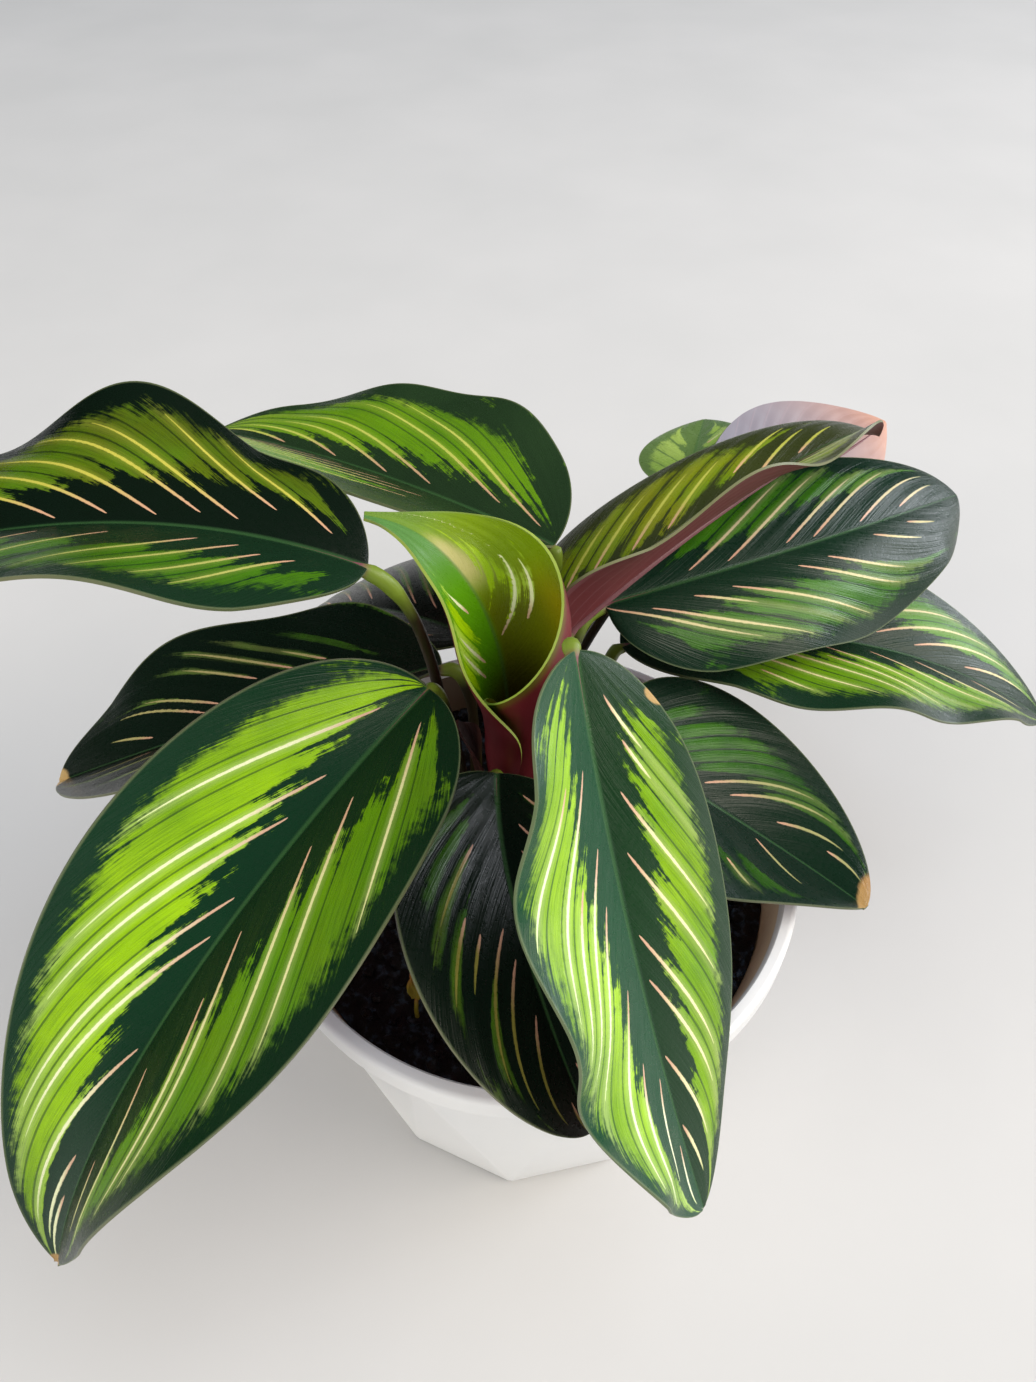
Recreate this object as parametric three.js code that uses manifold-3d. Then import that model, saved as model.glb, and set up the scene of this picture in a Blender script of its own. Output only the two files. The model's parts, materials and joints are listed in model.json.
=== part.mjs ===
// A potted calathea: a faceted plastic pot filled with potting mix, fourteen leaves that each rise
// from the crown on their own stalk, a new leaf still rolled up, a sheath and two small bracts.
// Millimetres, +Z up. The origin is the centre of the pot's flat base; the plant's front is at -Y.
import * as THREE from "three";
import { mergeVertices } from "three/addons/utils/BufferGeometryUtils.js";
import Module from "manifold-3d";

const wasm = await Module();
wasm.setup();

// Pot: a body of ten triangles up and ten down between two ten-sided rings, under a round rim band
const RIM_RADIUS = 65;
const POT_HEIGHT = 102;
const BAND_HEIGHT = 8;
const BASE_RADIUS = 48.4;
const SHOULDER_RADIUS = 64;
const SHOULDER_HEIGHT = 97;
const POT_SIDES = 10;
const FACET_START = -96; // degrees: where the first corner of the base stands
const MOUTH_RADIUS = 61;
const RIM_ROUNDING = 0.6; // how far the rim's edges are eased back
const RIM_LIP = 2; // width and depth of the rim's rounded top edge
const NECK_RADIUS = 58.5;
const NECK_HEIGHT = 88;
const FLOOR_RADIUS = 44.2;
const FLOOR_THICKNESS = 2.5;
const ROUND_SIDES = 40;
const CUT_PAST = 0.4; // how far a cut runs past the face that it opens
const MERGE_DISTANCE = 1e-3;

// Soil: fills the pot to a little under its mouth, lumpy on top, with a hole for each stalk
const SOIL_HEIGHT = 90;
const SOIL_LUMP = 0.9;
const SOIL_RINGS = 5;
const SOIL_EDGE_DEPTH = 2; // the soil sinks and draws in a little where it meets the pot
const SOIL_EDGE_INSET = 0.6;
const CLEARANCE = 0.3;
const HOLE_BOTTOM = 76;
const COLLAR_RISE = 4; // a stalk runs straight up to this far over the soil before it bends
const HOLE_SIDES = 10;

// Leaves: what all blades and stalks share
const BLADE_ROWS = 14;
const BLADE_COLUMNS = 8;
const STALK_ROWS = 7;
const MARGIN_THICKNESS = 0.8;
const RIB_THICKNESS = 2.2;
const STALK_RADIUS = 1.25;
const STALK_LIFT = 0.45; // how strongly a stalk sets out upwards, as a share of its span
const STALK_REACH = 10; // how long a stalk runs in line with its midrib where it meets the blade
const JOINT_RADIUS = 1.75; // the thick joint (pulvinus) right under the blade
const JOINT_START = 22; // how far before the blade the stalk starts to thicken
const JOINT_FULL = 12;
const STALK_STOP = 2.5; // the stalk's last section stands this far before the blade's first
const LEAST_HALF_WIDTH = 1.4;
const WAVE_FADE = 1 / 6; // share of the length over which a margin's waves set in at both ends
const TIP_THINNING = 0.5; // share of its thickness that the midrib loses up to the tip
const FLAT_CURL = 0.01; // degrees, in place of none: the arc's formula divides by it

// Each leaf, in degrees and millimetres. base: where the blade starts. heading and rise: which way
// the midrib sets out, with turn and fall over its length. roll and twist turn the blade about it.
// fold: how far each half is lifted at the midrib, then curl to its margin; open takes both off
// towards the tip. wave: height, count and phase on each margin. root: the stalk's place in the soil.
const LEAVES = [
  {
    name: "leaf_front_left",
    base: [-22, 5, 151],
    root: [-14.5, 4],
    reach: 5,
    heading: 233,
    turn: -15,
    rise: -6,
    fall: 63,
    length: 161,
    width: 66,
    peak: 0.35,
    fullness: 0.83,
    roll: -5,
    twist: 12,
    fold: [19, 21],
    curl: [-11, 37],
    open: -0.4,
    wave: [[3.2, 2, -55], [0.4, 2, 153]],
  },
  {
    name: "leaf_front_hanging",
    base: [7.5, -13, 180.8],
    root: [11, 5],
    reach: 6,
    rows: 18,
    heading: 284,
    turn: 20,
    rise: -50,
    fall: 9,
    length: 122.8,
    width: 56,
    peak: 0.45,
    fullness: 0.62,
    roll: -22,
    twist: 2,
    fold: [13, 20],
    curl: [-24, -9],
    open: 0,
    wave: [[0.4, 2, -13], [4.1, 3, -81]],
  },
  {
    name: "leaf_front_low",
    base: [-7.6, -2.9, 131.8],
    root: [-7, -1.5],
    reach: 2,
    heading: 270,
    turn: 35,
    rise: 9,
    fall: 62,
    length: 80.4,
    width: 53.3,
    peak: 0.45,
    fullness: 0.7,
    roll: -6,
    twist: -3,
    fold: [20, 22],
    curl: [-10, -5],
    open: 0,
    wave: [[0, 2, 0], [0, 2, 0]],
  },
  {
    name: "leaf_upper_left",
    base: [-32, 9, 182],
    root: [-17.5, 15],
    lean: [-3, 0],
    reach: 14,
    rows: 18,
    heading: 178,
    turn: 38,
    rise: 25,
    fall: 50,
    length: 142,
    width: 71,
    peak: 0.41,
    fullness: 0.74,
    roll: -1,
    twist: 36,
    fold: [18, 20],
    curl: [-14, -8],
    open: 0.1,
    wave: [[1.7, 3, 75], [5.1, 3, 112]],
  },
  {
    name: "leaf_back_centre",
    base: [5.1, 36.4, 164.1],
    root: [-1, 26],
    reach: 3,
    heading: 141,
    turn: -1,
    rise: -3,
    fall: 15,
    length: 127.4,
    width: 71.6,
    peak: 0.4,
    fullness: 0.73,
    roll: 5,
    twist: 4,
    fold: [25, 21],
    curl: [4, -5],
    open: 0.1,
    wave: [[0, 2, 0], [1.1, 3, 148]],
  },
  {
    name: "leaf_right_folded",
    base: [8, 26.5, 146.7],
    root: [7.5, 23.5],
    reach: 4,
    heading: 32,
    turn: 21,
    rise: 27,
    fall: 54,
    length: 125,
    width: 49,
    peak: 0.16,
    fullness: 0.57,
    roll: -6,
    twist: 14,
    fold: [35, 77],
    curl: [-71, -17],
    open: 0.53,
    wave: [[0, 2, 0], [3.4, 2.6, 111]],
  },
  {
    name: "leaf_right_large",
    base: [17.5, 37, 145.5],
    root: [12, 18.5],
    reach: 14,
    heading: 22,
    turn: 20,
    rise: 0,
    fall: 17,
    length: 131,
    width: 57,
    peak: 0.43,
    fullness: 0.46,
    roll: 5,
    twist: 19,
    fold: [12, 5],
    curl: [-29, -53],
    open: 0,
    wave: [[0, 2, 0], [3, 2, -158]],
  },
  {
    name: "leaf_right_under",
    base: [24.2, 49, 119.8],
    root: [15, 21],
    reach: 5,
    heading: 13,
    turn: -18,
    rise: 1,
    fall: 37,
    length: 139.8,
    width: 61.4,
    peak: 0.42,
    fullness: 0.72,
    roll: 5,
    twist: -3,
    fold: [19, 18],
    curl: [-13, -13],
    open: -0.2,
    wave: [[0, 2, 0], [2.2, 3, -58]],
  },
  {
    name: "leaf_right_low",
    base: [17.9, 10, 129.1],
    root: [13, 12],
    reach: 6,
    heading: 355,
    turn: -43,
    rise: -43,
    fall: -47,
    length: 74.2,
    width: 63.7,
    peak: 0.39,
    fullness: 0.68,
    roll: -1,
    twist: -14,
    fold: [18, 18],
    curl: [-12, -13],
    open: 0,
    wave: [[0, 2, 0], [0, 2, 0]],
  },
  {
    name: "leaf_left_low",
    base: [-21, 25, 137],
    root: [-14, 21.5],
    reach: 10,
    heading: 172,
    turn: 4,
    rise: -26,
    fall: 4,
    length: 129,
    width: 62,
    peak: 0.46,
    fullness: 0.67,
    roll: 14,
    twist: -15,
    fold: [20, 23],
    curl: [-10, -2],
    open: -0.5,
    wave: [[0, 2, 0], [2.5, 2, -27]],
  },
  {
    name: "leaf_back_right",
    base: [47.5, 83.5, 135],
    root: [4, 31],
    reach: 20,
    heading: 41,
    turn: 14,
    rise: -14,
    fall: -2,
    length: 120,
    width: 52,
    peak: 0.46,
    fullness: 0.73,
    roll: -130,
    twist: -7,
    fold: [16, 21],
    curl: [-18, -7],
    open: 0,
    wave: [[0, 2, 0], [0, 2, 0]],
  },
  {
    name: "leaf_back_small",
    base: [46.6, 107.9, 125.8],
    root: [0, 31.5],
    lean: [15, 25],
    reach: 6,
    heading: 75,
    turn: 0,
    rise: 2,
    fall: 14,
    length: 45,
    width: 35.6,
    peak: 0.48,
    fullness: 0.72,
    roll: -15,
    twist: 4,
    fold: [12, 15],
    curl: [-28, -20],
    open: 0,
    wave: [[0, 2, 0], [0, 2, 0]],
  },
  {
    name: "leaf_left_middle",
    base: [-13.4, 46.8, 124.2],
    root: [-9, 25],
    reach: 10,
    heading: 141,
    turn: 0,
    rise: -8,
    fall: 45,
    length: 100,
    width: 63.4,
    peak: 0.46,
    fullness: 0.72,
    roll: 5,
    twist: 0,
    fold: [15, 14],
    curl: [-20, -22],
    open: 0,
    wave: [[0, 2, 0], [0, 2, 0]],
  },
  {
    name: "leaf_back_left",
    base: [3, 52, 144],
    root: [-5, 29],
    reach: 12,
    heading: 140,
    turn: 0,
    rise: 5,
    fall: 26,
    length: 70,
    width: 42,
    peak: 0.46,
    fullness: 0.72,
    roll: 35,
    twist: 0,
    fold: [15, 15],
    curl: [-20, -20],
    open: 0,
    wave: [[0, 2, 0], [0, 2, 0]],
  },
];

// Pieces that stand in the middle of the crown. A rolled piece gives its heading, rise and roll, the
// radius that it is rolled to and the width of each half at evenly spaced stations along its length.
const ROLLED_LEAF = {
  name: "new_leaf_rolled",
  base: [-2.5, 14.6, 102.2],
  root: [-1, 14],
  rows: 18,
  columns: 16,
  reach: 3,
  stalkRadius: 2.2,
  jointRadius: 2.2,
  length: 93,
  heading: [147, 142, 144, 149, 163, 182],
  rise: [80, 85, 84, 68, 45, 14],
  roll: [-24, -30, -23, -24, -10, 18],
  radius: [5.7, 6.5, 7.7, 11.5, 12.8, 24],
  left: [16, 21, 22.5, 18.5, 13, 2],
  right: [15, 32, 38, 33, 11.5, 2],
  throat: 0.12,
  lap: 1.7,
  rib: 1,
};

const SHEATH = {
  name: "rolled_sheath",
  base: [-11, 10.8, 100],
  root: [-11.3, 10.8],
  rows: 8,
  columns: 6,
  reach: 2,
  stalkRadius: 1.2,
  jointRadius: 1.2,
  length: 34,
  heading: [200, 200, 195, 190],
  rise: [84, 84, 80, 70],
  roll: [0, 0, 0, 0],
  radius: [10.5, 10.5, 10.5, 10.5],
  left: [4.5, 5.5, 5.5, 2],
  right: [5, 8, 8.5, 2],
  throat: 0.15,
  lap: 0,
  rib: 1,
};

const GREEN_BRACT = {
  name: "crown_bract",
  base: [-11.7, 7, 100],
  root: [-11.5, 7.2],
  rows: 6,
  columns: 4,
  reach: 2,
  stalkRadius: 0.7,
  jointRadius: 0.7,
  heading: 240,
  turn: 0,
  rise: 88,
  fall: 10,
  length: 19,
  width: 4.4,
  peak: 0.5,
  fullness: 0.8,
  roll: 0,
  twist: 0,
  fold: [20, 20],
  curl: [0, 0],
  open: 0,
  wave: [[0, 2, 0], [0, 2, 0]],
};

const DRY_TIP = {
  name: "dry_bract",
  base: [-25.5, -39.8, 98.5],
  root: [-25.6, -40.6],
  rows: 6,
  columns: 4,
  reach: 1,
  stalkRadius: 0.7,
  jointRadius: 0.7,
  heading: 80,
  turn: 20,
  rise: 66,
  fall: 10,
  length: 6.5,
  width: 3.6,
  peak: 0.4,
  fullness: 0.8,
  roll: 0,
  twist: 0,
  fold: [30, 30],
  curl: [0, 0],
  open: 0,
  wave: [[0, 2, 0], [0, 2, 0]],
};

const degrees = THREE.MathUtils.degToRad;

// The unit vector that points to a heading and rises by an angle
function direction(heading, rise) {
  const a = degrees(heading);
  const e = degrees(rise);
  return new THREE.Vector3(Math.cos(e) * Math.cos(a), Math.cos(e) * Math.sin(a), Math.sin(e));
}

// Shares of the length where the rows of a blade lie: closer together at both rounded ends
function rowShare(row, rows) {
  const u = row / rows;
  return u - Math.sin(2 * Math.PI * u) / 12;
}

// Points and frames along a midrib. tangentAt and rollAt are functions of the share of its length.
function midrib({ base, length, rows = BLADE_ROWS }, tangentAt, rollAt) {
  const frames = [];
  const point = new THREE.Vector3(...base);
  for (let row = 0; row <= rows; row++) {
    const t = rowShare(row, rows);
    if (row > 0) {
      const before = rowShare(row - 1, rows);
      point.addScaledVector(tangentAt((t + before) / 2), (t - before) * length);
    }
    const along = tangentAt(t);
    const level = new THREE.Vector3(-along.y, along.x, 0).normalize();
    const up = along.clone().cross(level);
    const roll = degrees(rollAt(t));
    const side = level.clone().multiplyScalar(Math.cos(roll)).addScaledVector(up, Math.sin(roll));
    const normal = along.clone().cross(side);
    frames.push({ t, point: point.clone(), along, side, normal });
  }
  return frames;
}

// One point of a cross-section: across and up are its place, tilt is the slope of the section there
function sectionPoint(frame, sign, across, up, tilt, thickness) {
  const upper = frame.point
    .clone()
    .addScaledVector(frame.side, sign * across)
    .addScaledVector(frame.normal, up);
  const outward = frame.normal
    .clone()
    .multiplyScalar(Math.cos(tilt))
    .addScaledVector(frame.side, -sign * Math.sin(tilt));
  return { upper, lower: upper.clone().addScaledVector(outward, -thickness) };
}

// A stalk's round section, as an upper and a lower row with as many points as the blade's rows
function roundSection(point, side, normal, radius, columns) {
  const upper = [];
  const lower = [];
  for (let column = 0; column <= columns; column++) {
    const angle = (Math.PI * (column + 0.5)) / (columns + 1);
    const edge = point.clone().addScaledVector(side, -radius * Math.cos(angle));
    upper.push(edge.clone().addScaledVector(normal, radius * Math.sin(angle)));
    lower.push(edge.clone().addScaledVector(normal, -radius * Math.sin(angle)));
  }
  return { upper, lower };
}

// The stalk's sections, from its foot in the soil up to the blade's base, which it enters in line
function stalk(leaf, first) {
  const [x, y] = leaf.root;
  const [leanX, leanY] = leaf.lean ?? [0, 0];
  const columns = leaf.columns ?? BLADE_COLUMNS;
  const thin = leaf.stalkRadius ?? STALK_RADIUS;
  const thick = leaf.jointRadius ?? JOINT_RADIUS;
  const foot = new THREE.Vector3(x, y, HOLE_BOTTOM + CLEARANCE);
  const collar = new THREE.Vector3(x, y, SOIL_HEIGHT + COLLAR_RISE);
  const end = first.point.clone().addScaledVector(first.normal, -RIB_THICKNESS / 2);
  const span = collar.distanceTo(end);
  const lift = new THREE.Vector3(leanX, leanY, span * STALK_LIFT);
  const curve = new THREE.CubicBezierCurve3(
    collar,
    collar.clone().add(lift),
    end.clone().addScaledVector(first.along, -(leaf.reach ?? STALK_REACH)),
    end,
  );
  const sections = [];
  let side = first.side.clone();
  for (let row = STALK_ROWS; row >= 0; row--) {
    const u = (row / STALK_ROWS) * (1 - STALK_STOP / span);
    const along = curve.getTangent(u);
    side = side.addScaledVector(along, -side.dot(along)).normalize();
    const normal = along.clone().cross(side);
    const joint = THREE.MathUtils.smoothstep(u, 1 - JOINT_START / span, 1 - JOINT_FULL / span);
    const radius = THREE.MathUtils.lerp(thin, thick, joint);
    sections.unshift(roundSection(curve.getPoint(u), side.clone(), normal, radius, columns));
  }
  const level = side.clone().setZ(0).normalize();
  const ahead = new THREE.Vector3(0, 0, 1).cross(level);
  sections.unshift(roundSection(foot, level, ahead, thin, columns));
  return sections;
}

// Half the blade's width at a share of its length: widest at the peak, drawn in at both ends
function halfWidth(leaf, t) {
  const stretch = Math.log(0.5) / Math.log(leaf.peak);
  const bow = Math.sin(Math.PI * Math.pow(t, stretch));
  return Math.max((leaf.width / 2) * Math.pow(Math.max(bow, 0), leaf.fullness), LEAST_HALF_WIDTH);
}

// A blade's section: each half is an arc from its fold at the midrib, and its margin waves
function bladeSection(leaf, frame) {
  const upper = [];
  const lower = [];
  const steps = (leaf.columns ?? BLADE_COLUMNS) / 2; // columns on each side of the midrib
  const relax = 1 - leaf.open * frame.t;
  const half = halfWidth(leaf, frame.t);
  const fade = Math.min(1, Math.min(frame.t, 1 - frame.t) / WAVE_FADE);
  for (let column = -steps; column <= steps; column++) {
    const sign = column < 0 ? -1 : 1;
    const which = column < 0 ? 1 : 0;
    const out = Math.abs(column) / steps;
    const fold = degrees(leaf.fold[which]) * relax;
    const curl = degrees(leaf.curl[which] || FLAT_CURL) * relax;
    const tilt = fold + curl * out;
    const across = (half * (Math.sin(tilt) - Math.sin(fold))) / curl;
    const rise = (half * (Math.cos(fold) - Math.cos(tilt))) / curl;
    const [height, count, phase] = leaf.wave[which];
    const wave = height * out * out * Math.sin(2 * Math.PI * count * frame.t + degrees(phase));
    const rib = RIB_THICKNESS * (1 - TIP_THINNING * frame.t);
    const thickness = THREE.MathUtils.lerp(rib, MARGIN_THICKNESS, Math.sqrt(out));
    const slope = column === 0 ? 0 : tilt;
    const pair = sectionPoint(frame, sign, across, rise + wave * fade, slope, thickness);
    upper.push(pair.upper);
    lower.push(pair.lower);
  }
  return { upper, lower };
}

// A closed sheet through the sections: both faces are split into triangles alike
function sheetGeometry(sections) {
  const rows = sections.length;
  const columns = sections[0].upper.length;
  const points = [...sections.flatMap((s) => s.upper), ...sections.flatMap((s) => s.lower)];
  const up = (i, j) => i * columns + j;
  const low = (i, j) => rows * columns + i * columns + j;
  const index = [];
  const lastRow = rows - 1;
  const last = columns - 1;
  for (let i = 0; i < lastRow; i++) {
    for (let j = 0; j < last; j++) {
      index.push(up(i, j), up(i + 1, j), up(i + 1, j + 1), up(i, j), up(i + 1, j + 1), up(i, j + 1));
      index.push(low(i, j), low(i + 1, j + 1), low(i + 1, j));
      index.push(low(i, j), low(i, j + 1), low(i + 1, j + 1));
    }
    index.push(up(i, 0), low(i, 0), low(i + 1, 0), up(i, 0), low(i + 1, 0), up(i + 1, 0));
    index.push(up(i, last), low(i + 1, last), low(i, last));
    index.push(up(i, last), up(i + 1, last), low(i + 1, last));
  }
  for (let j = 0; j < last; j++) {
    index.push(up(0, j), up(0, j + 1), low(0, j + 1), up(0, j), low(0, j + 1), low(0, j));
    index.push(up(lastRow, j), low(lastRow, j + 1), up(lastRow, j + 1));
    index.push(up(lastRow, j), low(lastRow, j), low(lastRow, j + 1));
  }
  const geometry = new THREE.BufferGeometry().setFromPoints(points);
  geometry.setIndex(index);
  geometry.computeVertexNormals();
  return geometry;
}

// A leaf: its stalk and its open blade as one sheet
function leafGeometry(leaf) {
  const tangentAt = (t) => direction(leaf.heading + leaf.turn * t, leaf.rise - leaf.fall * t);
  const rollAt = (t) => leaf.roll + leaf.twist * t;
  const frames = midrib(leaf, tangentAt, rollAt);
  const sections = stalk(leaf, frames[0]);
  frames.forEach((frame) => sections.push(bladeSection(leaf, frame)));
  return sheetGeometry(sections);
}

// A value that runs smoothly through its stations, which are evenly spaced along the length
function between(stations, t) {
  const last = stations.length - 1;
  const place = Math.min(Math.max(t, 0), 1) * last;
  const i = Math.min(Math.floor(place), last - 1);
  const u = place - i;
  const a = stations[Math.max(i - 1, 0)];
  const b = stations[i];
  const c = stations[i + 1];
  const d = stations[Math.min(i + 2, last)];
  const bend = 2 * a - 5 * b + 4 * c - d + u * (3 * b - a - 3 * c + d);
  return b + (u * (c - a + u * bend)) / 2;
}

// A rolled sheet's section: each half is an arc. The left half lies outside the right one.
function rolledSection(roll, frame) {
  const upper = [];
  const lower = [];
  const steps = (roll.columns ?? BLADE_COLUMNS) / 2;
  const flare = Math.sin((Math.PI / 2) * Math.min(1, frame.t / roll.throat));
  for (let column = -steps; column <= steps; column++) {
    const sign = column < 0 ? -1 : 1;
    const out = Math.abs(column) / steps;
    const radius = between(roll.radius, frame.t) + (sign > 0 ? roll.lap : 0);
    const half = between(sign > 0 ? roll.left : roll.right, frame.t) * flare;
    const angle = (Math.max(half, LEAST_HALF_WIDTH) / radius) * out;
    const across = radius * Math.sin(angle);
    const rise = radius * (1 - Math.cos(angle));
    const thickness = THREE.MathUtils.lerp(roll.rib, MARGIN_THICKNESS, Math.sqrt(out));
    const pair = sectionPoint(frame, sign, across, rise, angle, thickness);
    upper.push(pair.upper);
    lower.push(pair.lower);
  }
  return { upper, lower };
}

// A leaf or sheath that is still rolled, on its stalk
function rolledGeometry(roll) {
  const tangentAt = (t) => direction(between(roll.heading, t), between(roll.rise, t));
  const frames = midrib(roll, tangentAt, (t) => between(roll.roll, t));
  const sections = stalk(roll, frames[0]);
  frames.forEach((frame) => sections.push(rolledSection(roll, frame)));
  return sheetGeometry(sections);
}

// Solids for the cuts and joins of the pot and the soil
function solidOf(geometry) {
  const bare = geometry.clone();
  bare.deleteAttribute("normal");
  bare.deleteAttribute("uv");
  const merged = mergeVertices(bare, MERGE_DISTANCE);
  return new wasm.Manifold(
    new wasm.Mesh({
      numProp: 3,
      vertProperties: merged.attributes.position.array,
      triVerts: new Uint32Array(merged.index.array),
    }),
  );
}

function geometryOf(solid) {
  const mesh = solid.getMesh();
  const geometry = new THREE.BufferGeometry();
  geometry.setAttribute("position", new THREE.BufferAttribute(mesh.vertProperties, 3));
  geometry.setIndex(new THREE.BufferAttribute(mesh.triVerts, 1));
  const flat = geometry.toNonIndexed();
  flat.computeVertexNormals();
  return flat;
}

// A solid of revolution about Z from [radius, height] points, from the bottom of the axis to its top
function turned(profile) {
  const points = profile.map(([radius, height]) => new THREE.Vector2(radius, height));
  return new THREE.LatheGeometry(points, ROUND_SIDES).rotateX(Math.PI / 2);
}

// A corner of the pot's facets, counted in tenths of the way round
function corner(step, radius, height) {
  const angle = degrees(FACET_START + (360 / POT_SIDES) * step);
  return new THREE.Vector3(radius * Math.cos(angle), radius * Math.sin(angle), height);
}

// The pot's body: ten triangles that stand on the base and ten that hang from the shoulder
function facetedBody() {
  const points = [new THREE.Vector3(0, 0, 0), new THREE.Vector3(0, 0, SHOULDER_HEIGHT)];
  for (let side = 0; side < POT_SIDES; side++) {
    points.push(corner(side, BASE_RADIUS, 0));
    points.push(corner(side + 0.5, SHOULDER_RADIUS, SHOULDER_HEIGHT));
  }
  const low = (side) => 2 + 2 * (side % POT_SIDES);
  const high = (side) => 3 + 2 * (side % POT_SIDES);
  const index = [];
  for (let side = 0; side < POT_SIDES; side++) {
    index.push(low(side), low(side + 1), high(side));
    index.push(low(side + 1), high(side + 1), high(side));
    index.push(0, low(side + 1), low(side));
    index.push(1, high(side), high(side + 1));
  }
  const geometry = new THREE.BufferGeometry().setFromPoints(points);
  geometry.setIndex(index);
  return geometry;
}

function potGeometry() {
  const band = turned([
    [0, POT_HEIGHT - BAND_HEIGHT],
    [RIM_RADIUS - RIM_ROUNDING, POT_HEIGHT - BAND_HEIGHT],
    [RIM_RADIUS, POT_HEIGHT - BAND_HEIGHT + RIM_ROUNDING],
    [RIM_RADIUS, POT_HEIGHT - RIM_LIP],
    [RIM_RADIUS - RIM_ROUNDING, POT_HEIGHT - RIM_ROUNDING],
    [RIM_RADIUS - RIM_LIP, POT_HEIGHT],
    [0, POT_HEIGHT],
  ]);
  const inside = turned([
    [0, FLOOR_THICKNESS],
    [FLOOR_RADIUS, FLOOR_THICKNESS],
    [NECK_RADIUS, NECK_HEIGHT],
    [MOUTH_RADIUS, POT_HEIGHT - RIM_LIP],
    [MOUTH_RADIUS + RIM_ROUNDING, POT_HEIGHT - RIM_ROUNDING],
    [MOUTH_RADIUS + RIM_LIP, POT_HEIGHT + CUT_PAST],
    [0, POT_HEIGHT + CUT_PAST],
  ]);
  return geometryOf(solidOf(facetedBody()).add(solidOf(band)).subtract(solidOf(inside)));
}

// How far the soil's top stands over or under its mean height
function soilLump(x, y) {
  const broad = Math.sin(0.21 * x + 1) * Math.cos(0.17 * y - 0.4);
  const fine = Math.sin(0.5 * x + 0.23 * y) * Math.cos(0.46 * y);
  return SOIL_LUMP * (broad + 0.6 * fine);
}

// The inside of the pot at a height, less the clearance
function soilRadius(height) {
  const share = (height - FLOOR_THICKNESS) / (NECK_HEIGHT - FLOOR_THICKNESS);
  return THREE.MathUtils.lerp(FLOOR_RADIUS, NECK_RADIUS, share) - CLEARANCE;
}

function soilGeometry(stalks) {
  const bottom = FLOOR_THICKNESS + CLEARANCE;
  const edge = SOIL_HEIGHT - SOIL_EDGE_DEPTH;
  const profile = [
    [0, bottom],
    [soilRadius(bottom), bottom],
    [soilRadius(edge), edge],
  ];
  for (let ring = SOIL_RINGS; ring >= 0; ring--) {
    profile.push([(soilRadius(edge) - SOIL_EDGE_INSET) * (ring / SOIL_RINGS), SOIL_HEIGHT]);
  }
  const geometry = turned(profile);
  const places = geometry.attributes.position;
  for (let i = 0; i < places.count; i++) {
    if (places.getZ(i) > edge + CUT_PAST) {
      places.setZ(i, SOIL_HEIGHT + soilLump(places.getX(i), places.getY(i)));
    }
  }
  let soil = solidOf(geometry);
  stalks.forEach(({ root, radius }) => {
    const holeRadius = (radius + CLEARANCE) / Math.cos(Math.PI / HOLE_SIDES);
    const depth = SOIL_HEIGHT + COLLAR_RISE - HOLE_BOTTOM;
    const hole = new THREE.CylinderGeometry(holeRadius, holeRadius, depth, HOLE_SIDES);
    hole.rotateX(Math.PI / 2);
    hole.translate(root[0], root[1], HOLE_BOTTOM + depth / 2);
    soil = soil.subtract(solidOf(hole));
  });
  return geometryOf(soil);
}

const WHITE_PLASTIC = new THREE.MeshStandardMaterial({ color: "#f2f1ee", roughness: 0.35 });
const POTTING_MIX = new THREE.MeshStandardMaterial({ color: "#2a2220", roughness: 0.95 });
const LEAF_GREEN = new THREE.MeshStandardMaterial({ color: "#2f6d2a", roughness: 0.4 });
const YOUNG_LEAF = new THREE.MeshStandardMaterial({ color: "#8f9a1e", roughness: 0.4 });
const PURPLE_SHEATH = new THREE.MeshStandardMaterial({ color: "#5d2b3a", roughness: 0.45 });
const DRY_BRACT = new THREE.MeshStandardMaterial({ color: "#b98a45", roughness: 0.8 });

const plant = new THREE.Group();

function addMesh(name, geometry, material) {
  const mesh = new THREE.Mesh(geometry, material);
  mesh.name = name;
  plant.add(mesh);
}

const stalks = [...LEAVES, ROLLED_LEAF, SHEATH, GREEN_BRACT, DRY_TIP].map((leaf) => ({
  root: leaf.root,
  radius: leaf.stalkRadius ?? STALK_RADIUS,
}));

addMesh("pot", potGeometry(), WHITE_PLASTIC);
addMesh("soil", soilGeometry(stalks), POTTING_MIX);
LEAVES.forEach((leaf) => addMesh(leaf.name, leafGeometry(leaf), LEAF_GREEN));
addMesh(ROLLED_LEAF.name, rolledGeometry(ROLLED_LEAF), YOUNG_LEAF);
addMesh(SHEATH.name, rolledGeometry(SHEATH), PURPLE_SHEATH);
addMesh(GREEN_BRACT.name, leafGeometry(GREEN_BRACT), LEAF_GREEN);
addMesh(DRY_TIP.name, leafGeometry(DRY_TIP), DRY_BRACT);

export default plant;
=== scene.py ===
# A potted calathea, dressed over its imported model. Metres, +Z up, the plant's front at -Y.
# The sections follow the plant as it is put together: the room, the pot, the potting mix,
# the open leaves on their stalks, the young leaf that is still rolled, its sheath and the bracts.
import functools
import json
import math
import random

import bpy
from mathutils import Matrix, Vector, noise

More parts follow.
